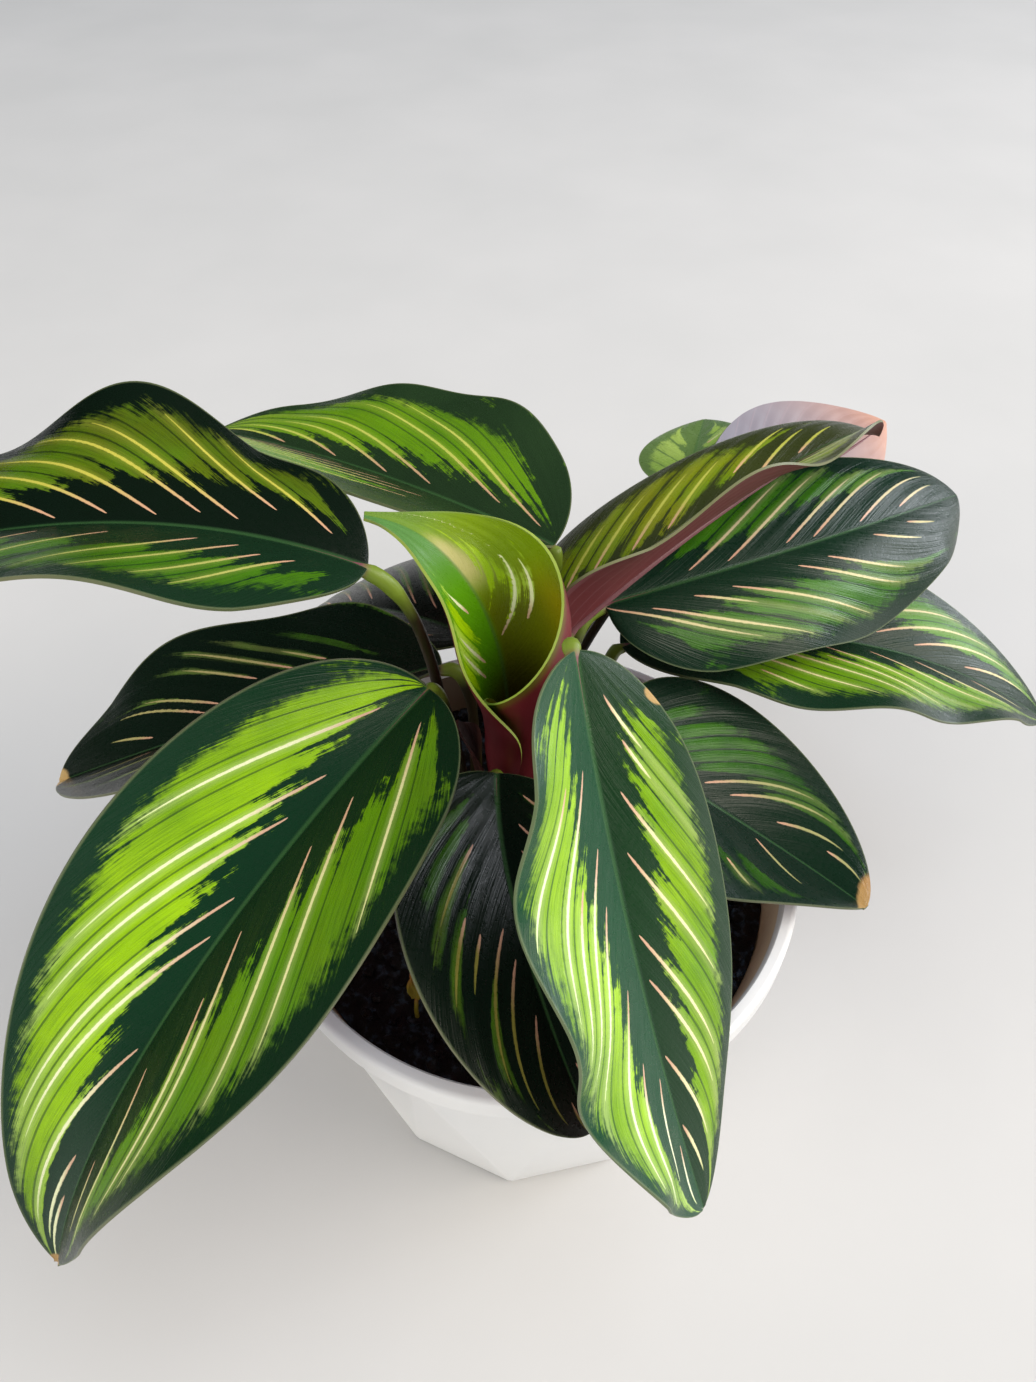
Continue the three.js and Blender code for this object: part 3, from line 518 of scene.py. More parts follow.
LEAVES = {
    "leaf_front_left": leaf_sizes(
        base=(-0.022, 0.005, 0.151), root=(-0.0145, 0.004), reach=0.005, length=0.1606, width=0.066,
        peak=0.35, fullness=0.83, heading=233, turn=-15, rise=-6, fall=63, roll=-5, twist=12,
        fold=(19, 21), curl=(-11, 37), open=-0.4, wave=((0.0032, 2, -55), (0.0004, 2, 153)),
        sweep=(0.44, 0.5), flank=0.02,
        # The left half's darker colours are painted shade; the right half's bright lime is partly
        # painted glow of light through the leaf
        paint=(("#0f2c14", "#628b08", "#dcd89a"), ("#123a22", "#a3d20a", "#f1f4c4")),
        dry=((1.0, 0.0, 0.004),),
        left=(
            (-19, 46, 84), (-9, 32, 90, 34, 88), (1, 32, 86), (9.8, 18, 84, 28, 88),
            (18.3, 16, 84, 25, 86), (25, 34, 84), (32.5, 13, 84, 25, 84), (37, 22, 86, 28, 86),
            (44, 42, 76), (52, 15, 80, 40, 80), (64, 22, 52, 100, 100),
        ),
        right=(
            (-31, 55, 74), (-22, 36, 80), (-14, 24, 84), (-5.5, 24, 84, 24, 86), (3, 22, 86),
            (11.5, 12, 80, 20, 88), (18.5, 12, 82, 17, 90), (26, 20, 90), (32.5, 7, 84, 18, 92),
            (39, 5, 80, 17, 92), (47.5, 24, 88), (56, 5, 74, 20, 86), (70, 15, 50, 100, 100),
            (78, 15, 40, 100, 100),
        ),
    ),
    "leaf_front_hanging": leaf_sizes(
        base=(0.0075, -0.013, 0.1808), root=(0.011, 0.005), reach=0.006, length=0.1228, width=0.056,
        peak=0.45, fullness=0.62, heading=284, turn=20, rise=-50, fall=9, roll=-22, twist=2,
        fold=(13, 20), curl=(-24, -9), wave=((0.0004, 2, -13), (0.0041, 3, -81)), sweep=(0.46, 0.46),
        # The left half's darker colours are partly painted shade, on the half that turns from the light
        flank=0.02, paint=(("#173c1c", "#86b00a", "#ebe4b0"), ("#1d5032", "#aedb38", "#f0f4ce")),
        dry=((0.1, 1.02, 0.0026),),
        left=(
            (-36,), (-27,), (-19, 60, 80), (-12, 45, 82), (-6, 30, 52, 38, 85), (0, 33, 50, 33, 85),
            (6, 30, 85), (14.5, 18, 78, 27, 83), (27, 12, 76, 24, 82), (35, 28, 84),
            (43, 7, 70, 22, 84), (51, 7, 66, 22, 82), (66, 5, 50, 30, 66), (80, 5, 30, 100, 100),
        ),
        right=(
            (-36,), (-27, 70, 84), (-20, 50, 90), (-12, 38, 92), (-5, 50, 95, 34, 94), (3, 32, 94),
            (8, 20, 90, 32, 94), (15, 40, 88, 34, 92), (22, 16, 84, 30, 92), (29, 20, 80, 28, 92),
            (36, 28, 90), (43, 20, 88, 28, 90), (53, 26, 84, 34, 86), (66, 10, 50, 50, 70),
            (79, 12, 40, 100, 100),
        ),
    ),
    "leaf_front_low": leaf_sizes(
        base=(-0.0076, -0.0029, 0.1318), root=(-0.007, -0.0015), reach=0.002, length=0.0804,
        width=0.0533, peak=0.45, fullness=0.7, heading=270, turn=35, rise=9, fall=62, roll=-6, twist=-3,
        fold=(20, 22), curl=(-10, -5), sweep=(0.5, 0.5), flank=0.0017,
        paint=(("#09190c", "#24460c", "#7a7236"), ("#08190c", "#23480c", "#8a8238")),
        right=(
            (-10, 40, 80), (0, 35, 80), (10, 30, 70, 35, 80), (20, 45, 80, 40, 80),
            (28.5, 36, 60, 100, 100), (38.5, 15, 80, 30, 75), (47.5, 12, 78, 100, 100),
            (61, 12, 66, 100, 100), (80, 20, 45, 100, 100),
        ),
    ),
    "leaf_upper_left": leaf_sizes(
        base=(-0.032, 0.009, 0.1815), root=(-0.0175, 0.015), lean=(-0.003, 0), reach=0.014,
        length=0.142, width=0.071, peak=0.41, fullness=0.74, heading=178, turn=38, rise=25, fall=50,
        roll=-1, twist=36, fold=(18, 20), curl=(-14, -8), open=0.1,
        wave=((0.0017, 3, 75), (0.0051, 3, 112)), sweep=(0.29, 0.29), flank=0.006,
        # The right half's darker ground is partly painted shade, on the half that turns from the light
        paint=(("#16321c", "#3c6406", "#a9aa58"), ("#0b170c", "#566306", "#bdb648")),
        left=(
            (-10, 50, 80), (0, 34, 88, 45, 86), (5, 32, 86, 40, 86), (10.8, 22, 90, 40, 90),
            (16.5, 20, 85, 40, 90), (26.5, 22, 80, 36, 90), (36, 18, 80, 30, 86), (45, 15, 75, 30, 80),
            (56, 12, 70, 30, 76), (68, 12, 50, 40, 60),
        ),
        right=(
            (-9, 45, 80), (-3, 30, 84, 45, 86), (4.5, 30, 84, 42, 86), (9, 40, 84),
            (14.3, 12, 80, 32, 84), (19, 12, 88, 30, 88), (25.8, 7, 84, 28, 86), (31.8, 7, 78, 26, 84),
            (38.5, 5, 75, 24, 84), (46, 5, 72, 24, 82), (54, 8, 68, 26, 76), (63, 10, 60, 30, 70),
            (75, 12, 40, 100, 100),
        ),
    ),
    "leaf_back_centre": leaf_sizes(
        base=(0.0051, 0.0364, 0.1641), root=(-0.001, 0.026), reach=0.003, length=0.1274, width=0.0716,
        peak=0.4, fullness=0.73, heading=141, turn=-1, rise=-3, fall=15, roll=5, twist=4, fold=(25, 21),
        curl=(4, -5), open=0.1, wave=((0, 2, 0), (0.0011, 3, 148)), sweep=(0.9, 0.9), flank=0.007,
        paint=(("#2c4424", "#6f9a18", "#c9c86a"), ("#283f22", "#6c9806", "#c2c858")),
        right=(
            (-50,), (-40, 60, 70), (-31, 36, 72), (-22, 28, 80), (-13, 20, 78, 24, 84),
            (0, 17, 74, 22, 84), (12, 20, 84), (25, 7, 62, 16, 84), (39, 4, 50, 12, 82),
            (54, 4, 45, 12, 80), (70, 5, 30, 15, 60),
        ),
    ),
    "leaf_right_folded": leaf_sizes(
        base=(0.008, 0.0265, 0.1467), root=(0.0075, 0.0235), reach=0.004, length=0.125, width=0.049,
        peak=0.16, fullness=0.57, heading=32, turn=21, rise=27, fall=54, roll=-6, twist=14,
        fold=(35, 77), curl=(-71, -17), open=0.53, wave=((0, 2, 0), (0.0034, 2.6, 111)),
        sweep=(0.48, 0.48), flank=0.003,
        paint=(("#3b421b", "#767d06", "#aeb04a"), ("#4a4f22", "#8d9a2a", "#c9c686")),
        under=("#702c2c", "#643029"),
        left=(
            (-20, 40, 70), (-11, 35, 66, 30, 80), (-2, 28, 70, 20, 85), (10, 20, 66, 15, 85),
            (20, 16, 60, 15, 70), (33, 30, 80, 25, 60), (46, 12, 60, 100, 100), (60, 10, 50, 100, 100),
            (75,),
        ),
    ),
    "leaf_right_large": leaf_sizes(
        base=(0.0175, 0.037, 0.1455), root=(0.012, 0.0185), reach=0.014, length=0.131, width=0.057,
        peak=0.43, fullness=0.46, heading=22, turn=20, rise=0, fall=17, roll=5, twist=19, fold=(12, 5),
        curl=(-29, -53), wave=((0, 2, 0), (0.003, 2, -158)), sweep=(0.5, 0.5), flank=0.0042,
        paint=(("#10301f", "#336b0d", "#cfc298"), ("#102f1c", "#336709", "#d2c690")),
        left=(
            (-12, 50, 80), (-4, 20, 56, 30, 70), (4, 25, 80), (13.8, 10, 78, 22, 84),
            (24, 7, 76, 24, 84), (31, 40, 70), (38.5, 7, 64, 30, 75), (46.5, 5, 70, 40, 75),
            (60, 6, 66, 100, 100), (72, 10, 42, 100, 100),
        ),
        right=(
            (-20, 50, 80), (-11, 22, 78, 35, 84), (-5, 26, 88, 35, 88), (7, 20, 44, 30, 84),
            (15, 20, 84, 25, 86), (23, 30, 80), (32, 18, 72, 28, 80), (40, 18, 60, 30, 72),
            (58, 12, 40, 100, 100), (70, 12, 30, 100, 100),
        ),
    ),
    "leaf_right_under": leaf_sizes(
        base=(0.0242, 0.049, 0.1198), root=(0.015, 0.021), reach=0.005, length=0.1398, width=0.0614,
        peak=0.42, fullness=0.72, heading=13, turn=-18, rise=1, fall=37, roll=5, twist=-3,
        fold=(19, 18), curl=(-13, -13), open=-0.2, wave=((0, 2, 0), (0.0022, 3, -58)),
        sweep=(0.48, 0.48), flank=0.006,
        paint=(("#16341f", "#528c10", "#d8cc98"), ("#16341f", "#74a00a", "#dcd298")),
        dry=((1.0, 0.0, 0.003),),
        left=(
            (-10, 40, 80), (0, 30, 80, 30, 85), (11, 20, 80, 30, 86), (22, 16, 80, 28, 86),
            (36, 20, 85, 30, 86), (46, 16, 80, 30, 85), (56, 14, 70, 30, 80), (70, 12, 50, 40, 60),
        ),
        right=(
            (-12, 50, 80), (-5, 60, 80, 40, 85), (6, 35, 85, 30, 86), (17, 22, 85, 25, 86),
            (25, 30, 80, 24, 86), (33, 15, 65, 20, 84), (45, 12, 70, 25, 80), (57, 10, 60, 30, 70),
            (72, 10, 40, 100, 100),
        ),
    ),
    "leaf_right_low": leaf_sizes(
        base=(0.0179, 0.01, 0.1291), root=(0.013, 0.012), reach=0.006, length=0.0742, width=0.0637,
        peak=0.39, fullness=0.68, heading=355, turn=-43, rise=-43, fall=-47, roll=-1, twist=-14,
        fold=(18, 18), curl=(-12, -13), sweep=(0.54, 0.54), flank=0.0024,
        paint=(("#102a19", "#1b4d08", "#a3a068"), ("#10281a", "#1d4409", "#a3a068")),
        dry=((1, 0.75, 0.006),),
        left=(
            (-10, 30, 70), (2, 22, 76), (10, 16, 78), (17, 14, 78), (24, 14, 78),
            (31.5, 12, 74, 40, 86), (39, 15, 74, 30, 86), (53, 20, 60, 100, 100),
            (62, 35, 60, 100, 100), (80,),
        ),
        right=(
            (-5, 30, 70), (10, 30, 80), (23, 55, 80, 50, 86), (35, 40, 80), (55, 10, 50, 100, 100),
            (70,),
        ),
    ),
    "leaf_left_low": leaf_sizes(
        base=(-0.021, 0.025, 0.137), root=(-0.014, 0.0215), reach=0.01, length=0.129, width=0.062,
        peak=0.46, fullness=0.67, heading=172, turn=4, rise=-26, fall=4, roll=14, twist=-15,
        fold=(20, 23), curl=(-10, -2), open=-0.5, wave=((0, 2, 0), (0.0025, 2, -27)),
        sweep=(0.62, 0.62), flank=0.0012,
        paint=(("#0c1a0e", "#28480c", "#8f8a52"), ("#0d1c10", "#2c4a10", "#a8a066")),
        dry=((1.0, 0.0, 0.005),),
        left=(
            (-10, 40, 80), (10, 30, 70, 40, 80), (25, 50, 72, 45, 80), (45, 20, 60, 30, 70),
            (60, 15, 45, 100, 100),
        ),
        right=(
            (-10, 40, 80), (2, 40, 60, 40, 85), (11.5, 36, 84, 36, 85), (21.5, 36, 68, 40, 70), (30,),
            (39.5, 22, 56, 30, 50), (45.7, 18, 58, 100, 100), (64, 12, 32, 100, 100),
        ),
    ),
    "leaf_back_right": leaf_sizes(
        base=(0.0475, 0.0835, 0.135), root=(0.004, 0.031), reach=0.02, length=0.12, width=0.052,
        peak=0.46, fullness=0.73, heading=41, turn=14, rise=-14, fall=-2, roll=-130, twist=-7,
        fold=(16, 21), curl=(-18, -7), sweep=(0.45, 0.45), flank=0.005,
        paint=(("#12301d", "#4f8c14", "#cdbd8c"), ("#12301d", "#4f8c14", "#cdbd8c")),
        # The underside runs lavender to salmon: its own wine tone lightened by painted sheen and light
        # through the leaf
        under=("#858b98", "#d8a183"),
    ),
    "leaf_back_small": leaf_sizes(
        base=(0.0466, 0.1079, 0.1258), root=(0, 0.0315), lean=(0.015, 0.025), reach=0.006, length=0.045,
        width=0.0356, peak=0.48, fullness=0.72, heading=75, rise=2, fall=14, roll=-15, twist=4,
        fold=(12, 15), curl=(-28, -20), sweep=(0.45, 0.45), flank=0.004,
        paint=(("#6d8b4a", "#a6c05c", "#bccb7c"), ("#64844a", "#a2bd58", "#c0cc84")),
        left=(
            (-20, 30, 80), (-5, 15, 85), (12, 10, 80), (30, 10, 70), (50, 20, 60),
        ),
        right=(
            (-25, 30, 80), (-8, 12, 85), (10, 30, 70, 10, 85), (28, 10, 80), (46, 20, 50, 15, 70),
            (62, 20, 50),
        ),
    ),
    "leaf_left_middle": leaf_sizes(
        base=(-0.0134, 0.0468, 0.1242), root=(-0.009, 0.025), reach=0.01, length=0.1, width=0.0634,
        peak=0.46, fullness=0.72, heading=141, rise=-8, fall=45, roll=5, fold=(15, 14), curl=(-20, -22),
        sweep=(0.5, 0.5), flank=0.0016,
        # Nearly black: the leaf's own dark green darkened with painted shade, deep under the leaves
        # above
        paint=(("#0c180e", "#233c0e", "#6c6a3c"), ("#0c180e", "#233c0e", "#6c6a3c")),
    ),
    "leaf_back_left": leaf_sizes(
        base=(0.003, 0.052, 0.144), root=(-0.005, 0.029), reach=0.012, length=0.07, width=0.042,
        peak=0.46, fullness=0.72, heading=140, rise=5, fall=26, roll=35, fold=(15, 15), curl=(-20, -20),
        sweep=(0.5, 0.5), flank=0.0016,
        # Nearly black: the leaf's own dark green darkened with painted shade, deep under the leaves
        # above
        paint=(("#0c180e", "#233c0e", "#6c6a3c"), ("#0c180e", "#233c0e", "#6c6a3c")),
    ),
}


def direction(heading, rise):
    """The unit vector that points to a heading and rises by an angle."""
    a = math.radians(heading)
    e = math.radians(rise)
    return Vector((math.cos(e) * math.cos(a), math.cos(e) * math.sin(a), math.sin(e)))


def row_share(u):
    """Share of the length where a row lies: rows are closer together at both rounded ends."""
    return u - math.sin(math.tau * u) / 12


def mix_values(a, b, share):
    """The value that lies a share of the way from a to b."""
    return a + (b - a) * share


def open_tangent(leaf, t):
    """Which way the midrib of an open leaf runs."""
    return direction(leaf["heading"] + leaf["turn"] * t, leaf["rise"] - leaf["fall"] * t)


def open_roll(leaf, t):
    """How far an open leaf is rolled round its midrib."""
    return leaf["roll"] + leaf["twist"] * t


def midrib_frames(leaf, rows, tangent_at, roll_at):
    """Share of the length, point, direction, side and normal of a midrib at each row."""
    frames = []
    point = Vector(leaf["base"])
    for row in range(rows + 1):
        t = row_share(row / rows)
        if row:
            before = row_share((row - 1) / rows)
            point = point + tangent_at(leaf, (t + before) / 2) * (t - before) * leaf["length"]
        along = tangent_at(leaf, t)
        level = Vector((-along.y, along.x, 0)).normalized()
        up = along.cross(level)
        roll = math.radians(roll_at(leaf, t))
        side = level * math.cos(roll) + up * math.sin(roll)
        frames.append((t, point, along, side, along.cross(side)))
    return frames


def half_width(leaf, t, across):
    """Half the blade's width at a share of its length, which is the same on both sides."""
    stretch = math.log(0.5) / math.log(leaf["peak"])
    bow = max(math.sin(math.pi * t**stretch), 0)
    return max(leaf["width"] / 2 * bow ** leaf["fullness"], LEAST_HALF_WIDTH)


def vein_facts(leaf, t, across, half):
    """What the paint needs at a point: the vein's number and pitch, and its stroke and band."""
    veins = leaf["left" if across > 0 else "right"]
    first, last = (veins[0][0], veins[-1][0]) if veins else (0, 0.2)
    veins = [
        *((first - END_PITCH * step, 1, 1, 1, 1) for step in (3, 2, 1)),
        *veins,
        *((last + END_PITCH * step, 1, 1, 1, 1) for step in (1, 2, 3)),
    ]
    sweep = leaf["sweep"][0 if across > 0 else 1]
    origin = min(max(t - sweep * abs(across), veins[1][0]), veins[-2][0] - 0.001)
    i = max(k for k in range(1, len(veins) - 1) if origin >= veins[k][0])
    gap = veins[i + 1][0] - veins[i][0]
    s = (origin - veins[i][0]) / gap
    before = 2 * gap / (veins[i + 1][0] - veins[i - 1][0])
    after = 2 * gap / (veins[i + 2][0] - veins[i][0])
    share = s * (1 - s) ** 2 * before + s * s * (3 - 2 * s) + s * s * (s - 1) * after
    rate = (3 * s * s - 4 * s + 1) * before + 6 * s * (1 - s) + (3 * s * s - 2 * s) * after
    slope = sweep * leaf["length"] / half
    pitch = gap / rate * leaf["length"] / math.sqrt(1 + slope * slope)
    nearest = veins[i + 1] if share > 0.5 else veins[i]
    band = [mix_values(a, b, share) for a, b in zip(veins[i][3:], veins[i + 1][3:])]
    return i + share, pitch, (*nearest[1:3], *band)


def blade_point(leaf, frame, across, vein):
    """Where a point of the blade lies: each half is an arc from its fold, and its margin waves."""
    t, point, along, side, normal = frame
    which = 1 if across < 0 else 0
    sign = -1 if across < 0 else 1
    out = abs(across)
    relax = 1 - leaf["open"] * t
    half = half_width(leaf, t, across)
    fold = math.radians(leaf["fold"][which]) * relax
    curl = math.radians(leaf["curl"][which] or FLAT_CURL) * relax
    tilt = fold + curl * out
    away = half * (math.sin(tilt) - math.sin(fold)) / curl
    lift = half * (math.cos(fold) - math.cos(tilt)) / curl
    height, count, phase = leaf["wave"][which]
    wave = height * out * out * math.sin(math.tau * count * t + math.radians(phase))
    lift += wave * min(1, min(t, 1 - t) / WAVE_FADE)
    swell = QUILTING * (1 - math.cos(math.tau * vein)) * math.sin(math.pi * out) * math.sin(math.pi * t)
    return point + side * sign * away + normal * (lift - swell)


def set_marks(piece, name, values, kind="FLOAT", field="value"):
    """Gives each vertex a number or a colour under a name that the material reads."""
    piece.data.attributes.new(name, kind, "POINT").data.foreach_set(field, values)


def close_blade(piece, marks, paints):
    """Writes the marks of each vertex, then gives the sheet its thickness, underside and rim."""
    for name, values in zip(NUMBER_MARKS, zip(*marks)):
        set_marks(piece, name, values)
    for name, colours in zip(COLOUR_MARKS, zip(*paints)):
        channels = [channel for colour in colours for channel in colour]
        set_marks(piece, name, channels, "FLOAT_COLOR", "color")
    apply_modifier(
        piece, "SOLIDIFY", thickness=BLADE_THICKNESS, offset=-1, material_offset=1, material_offset_rim=2
    )


def paint_at(leaf, t, across):
    """Ground, lime, stroke and underside colours: the two halves meet at the midrib."""
    base, tip = (linear(colour) for colour in leaf["under"])
    under = [mix_values(a, b, t**3) for a, b in zip(base, tip)]
    halves = [[*(linear(colour) for colour in half), under] for half in leaf["paint"]]
    if across > 0:
        return halves[0]
    if across < 0:
        return halves[1]
    return [[(a + b) / 2 for a, b in zip(*pair)] for pair in zip(*halves)]


def dryness(leaf, t, across, half):
    """1 in the middle of a dry spot, 0 at its edge and less beyond."""
    most = -1.0
    for spot_t, spot_across, radius in leaf["dry"]:
        gap = math.hypot((t - spot_t) * leaf["length"], (across - spot_across) * half)
        most = max(most, 1 - gap / radius)
    return most


def tube(name, stations):
    """A closed tube through (centre, side, normal, radius, along) stations."""
    last = len(stations) - 1

    def place(along, across):
        centre, side, normal, radius, _ = stations[round(along * last)]
        angle = -math.pi * across
        return centre + side * radius * math.cos(angle) + normal * radius * math.sin(angle)

    piece = shaped_grid(name, last, STALK_COLUMNS, place)
    shares = []
    for vertex in piece.data.vertices:
        nearest = min(stations, key=lambda s: (s[0] - vertex.co).length_squared - s[3] ** 2)
        shares.append(nearest[4])
    set_marks(piece, "along", shares)
    face_outward(piece, weld=0.00002)
    bpy.ops.object.shade_smooth()
    return piece


def stalk_stations(leaf, frames, thin, thick, rib):
    """The stalk from its foot in the mix to the blade, and on as the rib under the midrib."""
    x, y = leaf["root"]
    t, point, along, side, normal = frames[0]
    collar = Vector((x, y, COLLAR_HEIGHT))
    end = point - normal * RIB_THICKNESS / 2
    span = (end - collar).length
    lifted = collar + Vector((*leaf["lean"], span * STALK_LIFT))
    knots = [collar, lifted, end - along * leaf["reach"], end]
    path = []
    for row in range(STALK_ROWS + 1):
        u = row / STALK_ROWS * (1 - STALK_STOP / span)
        weights = ((1 - u) ** 3, 3 * u * (1 - u) ** 2, 3 * u * u * (1 - u), u**3)
        slopes = (-3 * (1 - u) ** 2, 3 * (1 - u) * (1 - 3 * u), 3 * u * (2 - 3 * u), 3 * u * u)
        centre = sum((knot * weight for knot, weight in zip(knots, weights)), Vector())
        tangent = sum((knot * slope for knot, slope in zip(knots, slopes)), Vector()).normalized()
        share = (u - 1 + JOINT_START / span) / ((JOINT_START - JOINT_FULL) / span)
        share = min(max(share, 0), 1)
        path.append((centre, tangent, mix_values(thin, thick, share * share * (3 - 2 * share)), u))
    stations = []
    across = side.copy()
    for centre, tangent, radius, u in reversed(path):
        across = (across - tangent * across.dot(tangent)).normalized()
        stations.insert(0, (centre, across.copy(), tangent.cross(across), radius, u))
    foot = Vector((x, y, STALK_FOOT))
    _, low_side, low_normal, _, _ = stations[0]
    stations.insert(0, (foot, low_side, low_normal, thin, 0))
    stations.insert(0, (foot, low_side, low_normal, 0, 0))
    for t, point, along, side, normal in frames:
        if rib and RIB_START < t < RIB_END:
            radius = rib * (1 - t / RIB_END) ** RIB_TAPER
            centre = point - normal * (BLADE_THICKNESS + RIB_SINK * radius)
            stations.append((centre, side, normal, radius, 2))
    if not rib:
        stations.append((end, frames[0][3], frames[0][4], thick * BARE_END, 1))
    centre, side, normal, _, _ = stations[-1]
    stations.append((centre, side, normal, 0, 1))
    return stations


# Leaf blade, waxy and satin. Everything is drawn along the side veins, which the points' marks
# number: dark ground, lime bands with brushed ends, cream strokes that start pink, dark vein lines
blade, add, surface = new_material("painted calathea blade")
mark = {name: add("Attribute", output="Fac", attribute_name=name) for name in NUMBER_MARKS}
for name in COLOUR_MARKS[:3]:
    mark[name] = add("Attribute", output="Color", attribute_name=name)
reach, vein, pitch = (mark[name] for name in ("reach", "vein", "pitch"))

# Brush marks: half a millimetre across the veins and about five along them
grain_x = add("Math", {0: vein, 1: 13.0})
grain_y = add("Math", {0: reach, 1: 7.0})
grain_at = add("CombineXYZ", {"X": grain_x, "Y": grain_y, "Z": mark["seed"]})
brush = add("TexNoise", {"Vector": grain_at, "Scale": 1.0, "Detail": 4.0, "Roughness": 0.7})
place = add("TexCoord", output="Object")
blotches = add("TexNoise", {"Vector": place, "Scale": 55.0, "Detail": 3.0})
specks = add("TexNoise", {"Vector": place, "Scale": 900.0, "Detail": 3.0, "Roughness": 0.7})

# How far a point lies from its vein, as a share of the pitch and in metres
gap = add("Math", {0: vein, 1: 0.5}, operation="PINGPONG")
gap_metres = add("Math", {0: gap, 1: pitch})

# Lime bands: the inner end is ragged and runs out further between two veins than along them
hollow = add("Math", {0: gap, 1: 2.0}, operation="POWER")
hollow = add("Math", {0: hollow, 1: 0.5})
islands = add("TexNoise", {"Vector": place, "Scale": 380.0, "Detail": 3.0, "Roughness": 0.6})
rough_edge = add("Mix", {"Factor": 0.4, "A": brush, "B": islands}, data_type="FLOAT")
ragged = add("Math", {0: rough_edge, 1: 0.5}, operation="SUBTRACT")
ragged_in = add("Math", {0: ragged, 1: 0.6, 2: mark["lime_from"]}, operation="MULTIPLY_ADD")
starts = add("Math", {0: ragged_in, 1: hollow}, operation="ADD")
starts_full = add("Math", {0: starts, 1: 0.04}, operation="ADD")
inner = add("MapRange", {"Value": reach, "From": (starts, starts_full)})
stops = add("Math", {0: ragged, 1: -0.55, 2: mark["lime_to"]}, operation="MULTIPLY_ADD")
stops_full = add("Math", {0: stops, 1: 0.09}, operation="SUBTRACT")
outer = add("MapRange", {"Value": reach, "From": (stops, stops_full)})
flank_ragged = add("MapRange", {"Value": brush, "From": (0.25, 0.75), "To": (0.3, 1.5)})
flank = add("Math", {0: mark["flank"], 1: flank_ragged})
flank_full = add("Math", {0: flank, 1: 0.6})
beside = add("MapRange", {"Value": gap_metres, "From": (flank, flank_full)})
lime = add("Math", {0: inner, 1: outer})
lime = add("Math", {0: lime, 1: beside})

# Dark vein lines, a third of a millimetre wide, half-way between two strokes
between_gap = add("Math", {0: 0.5, 1: gap}, operation="SUBTRACT")
between_metres = add("Math", {0: between_gap, 1: pitch})
vein_line = add("MapRange", {"Value": between_metres, "From": (0.00028, 0.00012), "To": (0, 0.65)})
lime = add("Math", {0: lime, 1: vein_line}, operation="SUBTRACT", use_clamp=True)

dark = add("Mix", {"Factor": blotches, "A": mark["ground"], "B": "#0d1f18"})
dark = add("Mix", {"Factor": 0.45, "A": mark["ground"], "B": dark})
lime_shade = add("MapRange", {"Value": blotches, "From": (0.35, 0.7), "To": (0, 0.55)})
bright = add("Mix", {"Factor": lime_shade, "A": mark["lime"], "B": "#4f8a10"})
# Lighter close beside a stroke, duller between two strokes, streaked along the veins
beside_stroke = add("MapRange", {"Value": gap_metres, "From": (0.0016, 0.0003), "To": (0, 0.15)})
glow_full = add("Math", {0: mark["stroke_from"], 1: 0.14}, operation="ADD")
along_stroke = add("MapRange", {"Value": reach, "From": (mark["stroke_from"], glow_full)})
glow = add("Math", {0: beside_stroke, 1: along_stroke})
streak_x = add("Math", {0: vein, 1: 26.0})
streak_at = add("CombineXYZ", {"X": streak_x, "Y": grain_y, "Z": mark["seed"]})
streaks = add("TexNoise", {"Vector": streak_at, "Scale": 1.0, "Detail": 3.0})
dull = add("MapRange", {"Value": streaks, "From": (0.45, 0.75), "To": (0, 0.45)})
outward = add("MapRange", {"Value": reach, "From": (0.45, 0.95), "To": (0, 0.6)})
mottled = add("Math", {0: brush, 1: 1.6, 2: -0.3}, operation="MULTIPLY_ADD", use_clamp=True)
outward = add("Math", {0: outward, 1: mottled})
dull = add("Math", {0: dull, 1: outward}, operation="ADD", use_clamp=True)
bright = add("Mix", {"Factor": dull, "A": bright, "B": dark})
bright = add("Mix", {"Factor": glow, "A": bright, "B": mark["stroke"]})
painted = add("Mix", {"Factor": lime, "A": dark, "B": bright})

# Cream strokes, most of a millimetre wide, tapered to both ends and pink where they start
share = add("MapRange", {"Value": reach, "From": (mark["stroke_from"], mark["stroke_to"])})
rest = add("Math", {0: 1.0, 1: share}, operation="SUBTRACT")
swells = add("Math", {0: share, 1: 0.35}, operation="POWER")
thins = add("Math", {0: rest, 1: 0.75}, operation="POWER")
taper = add("Math", {0: swells, 1: thins})
stroke_width = add("Math", {0: taper, 1: 0.00094})
frayed = add("MapRange", {"Value": specks, "From": (0.3, 0.7), "To": (0.75, 1.1)})
stroke_width = add("Math", {0: stroke_width, 1: frayed})
stroke_soft = add("Math", {0: stroke_width, 1: 0.55})
stroke = add("MapRange", {"Value": gap_metres, "From": (stroke_width, stroke_soft)})
real = add("Math", {0: taper, 1: 0.12}, operation="GREATER_THAN")
stroke = add("Math", {0: stroke, 1: real})
blush = add("MapRange", {"Value": share, "From": (0.34, 0.08), "To": (0, 0.85)})
cream = add("Mix", {"Factor": blush, "A": mark["stroke"], "B": "#cf9a82"})
faded = add("MapRange", {"Value": share, "From": (0.72, 1.0), "To": (0, 0.6)})
cream = add("Mix", {"Factor": faded, "A": cream, "B": mark["lime"]})
painted = add("Mix", {"Factor": stroke, "A": painted, "B": cream})

# Midrib: a pale line that narrows to the tip. Margin: a hair of dry pale green
rib_width = add("MapRange", {"Value": mark["along"], "To": (0.0009, 0.00025)})
rib_soft = add("Math", {0: rib_width, 1: 0.3})
rib = add("MapRange", {"Value": mark["offset"], "From": (rib_width, rib_soft), "To": (0, 0.36)})
painted = add("Mix", {"Factor": rib, "A": painted, "B": "#47743f"})
edge = add("MapRange", {"Value": mark["inset"], "From": (0.0005, 0.0001), "To": (0, 0.35)})
painted = add("Mix", {"Factor": edge, "A": painted, "B": "#8f9a6c"})

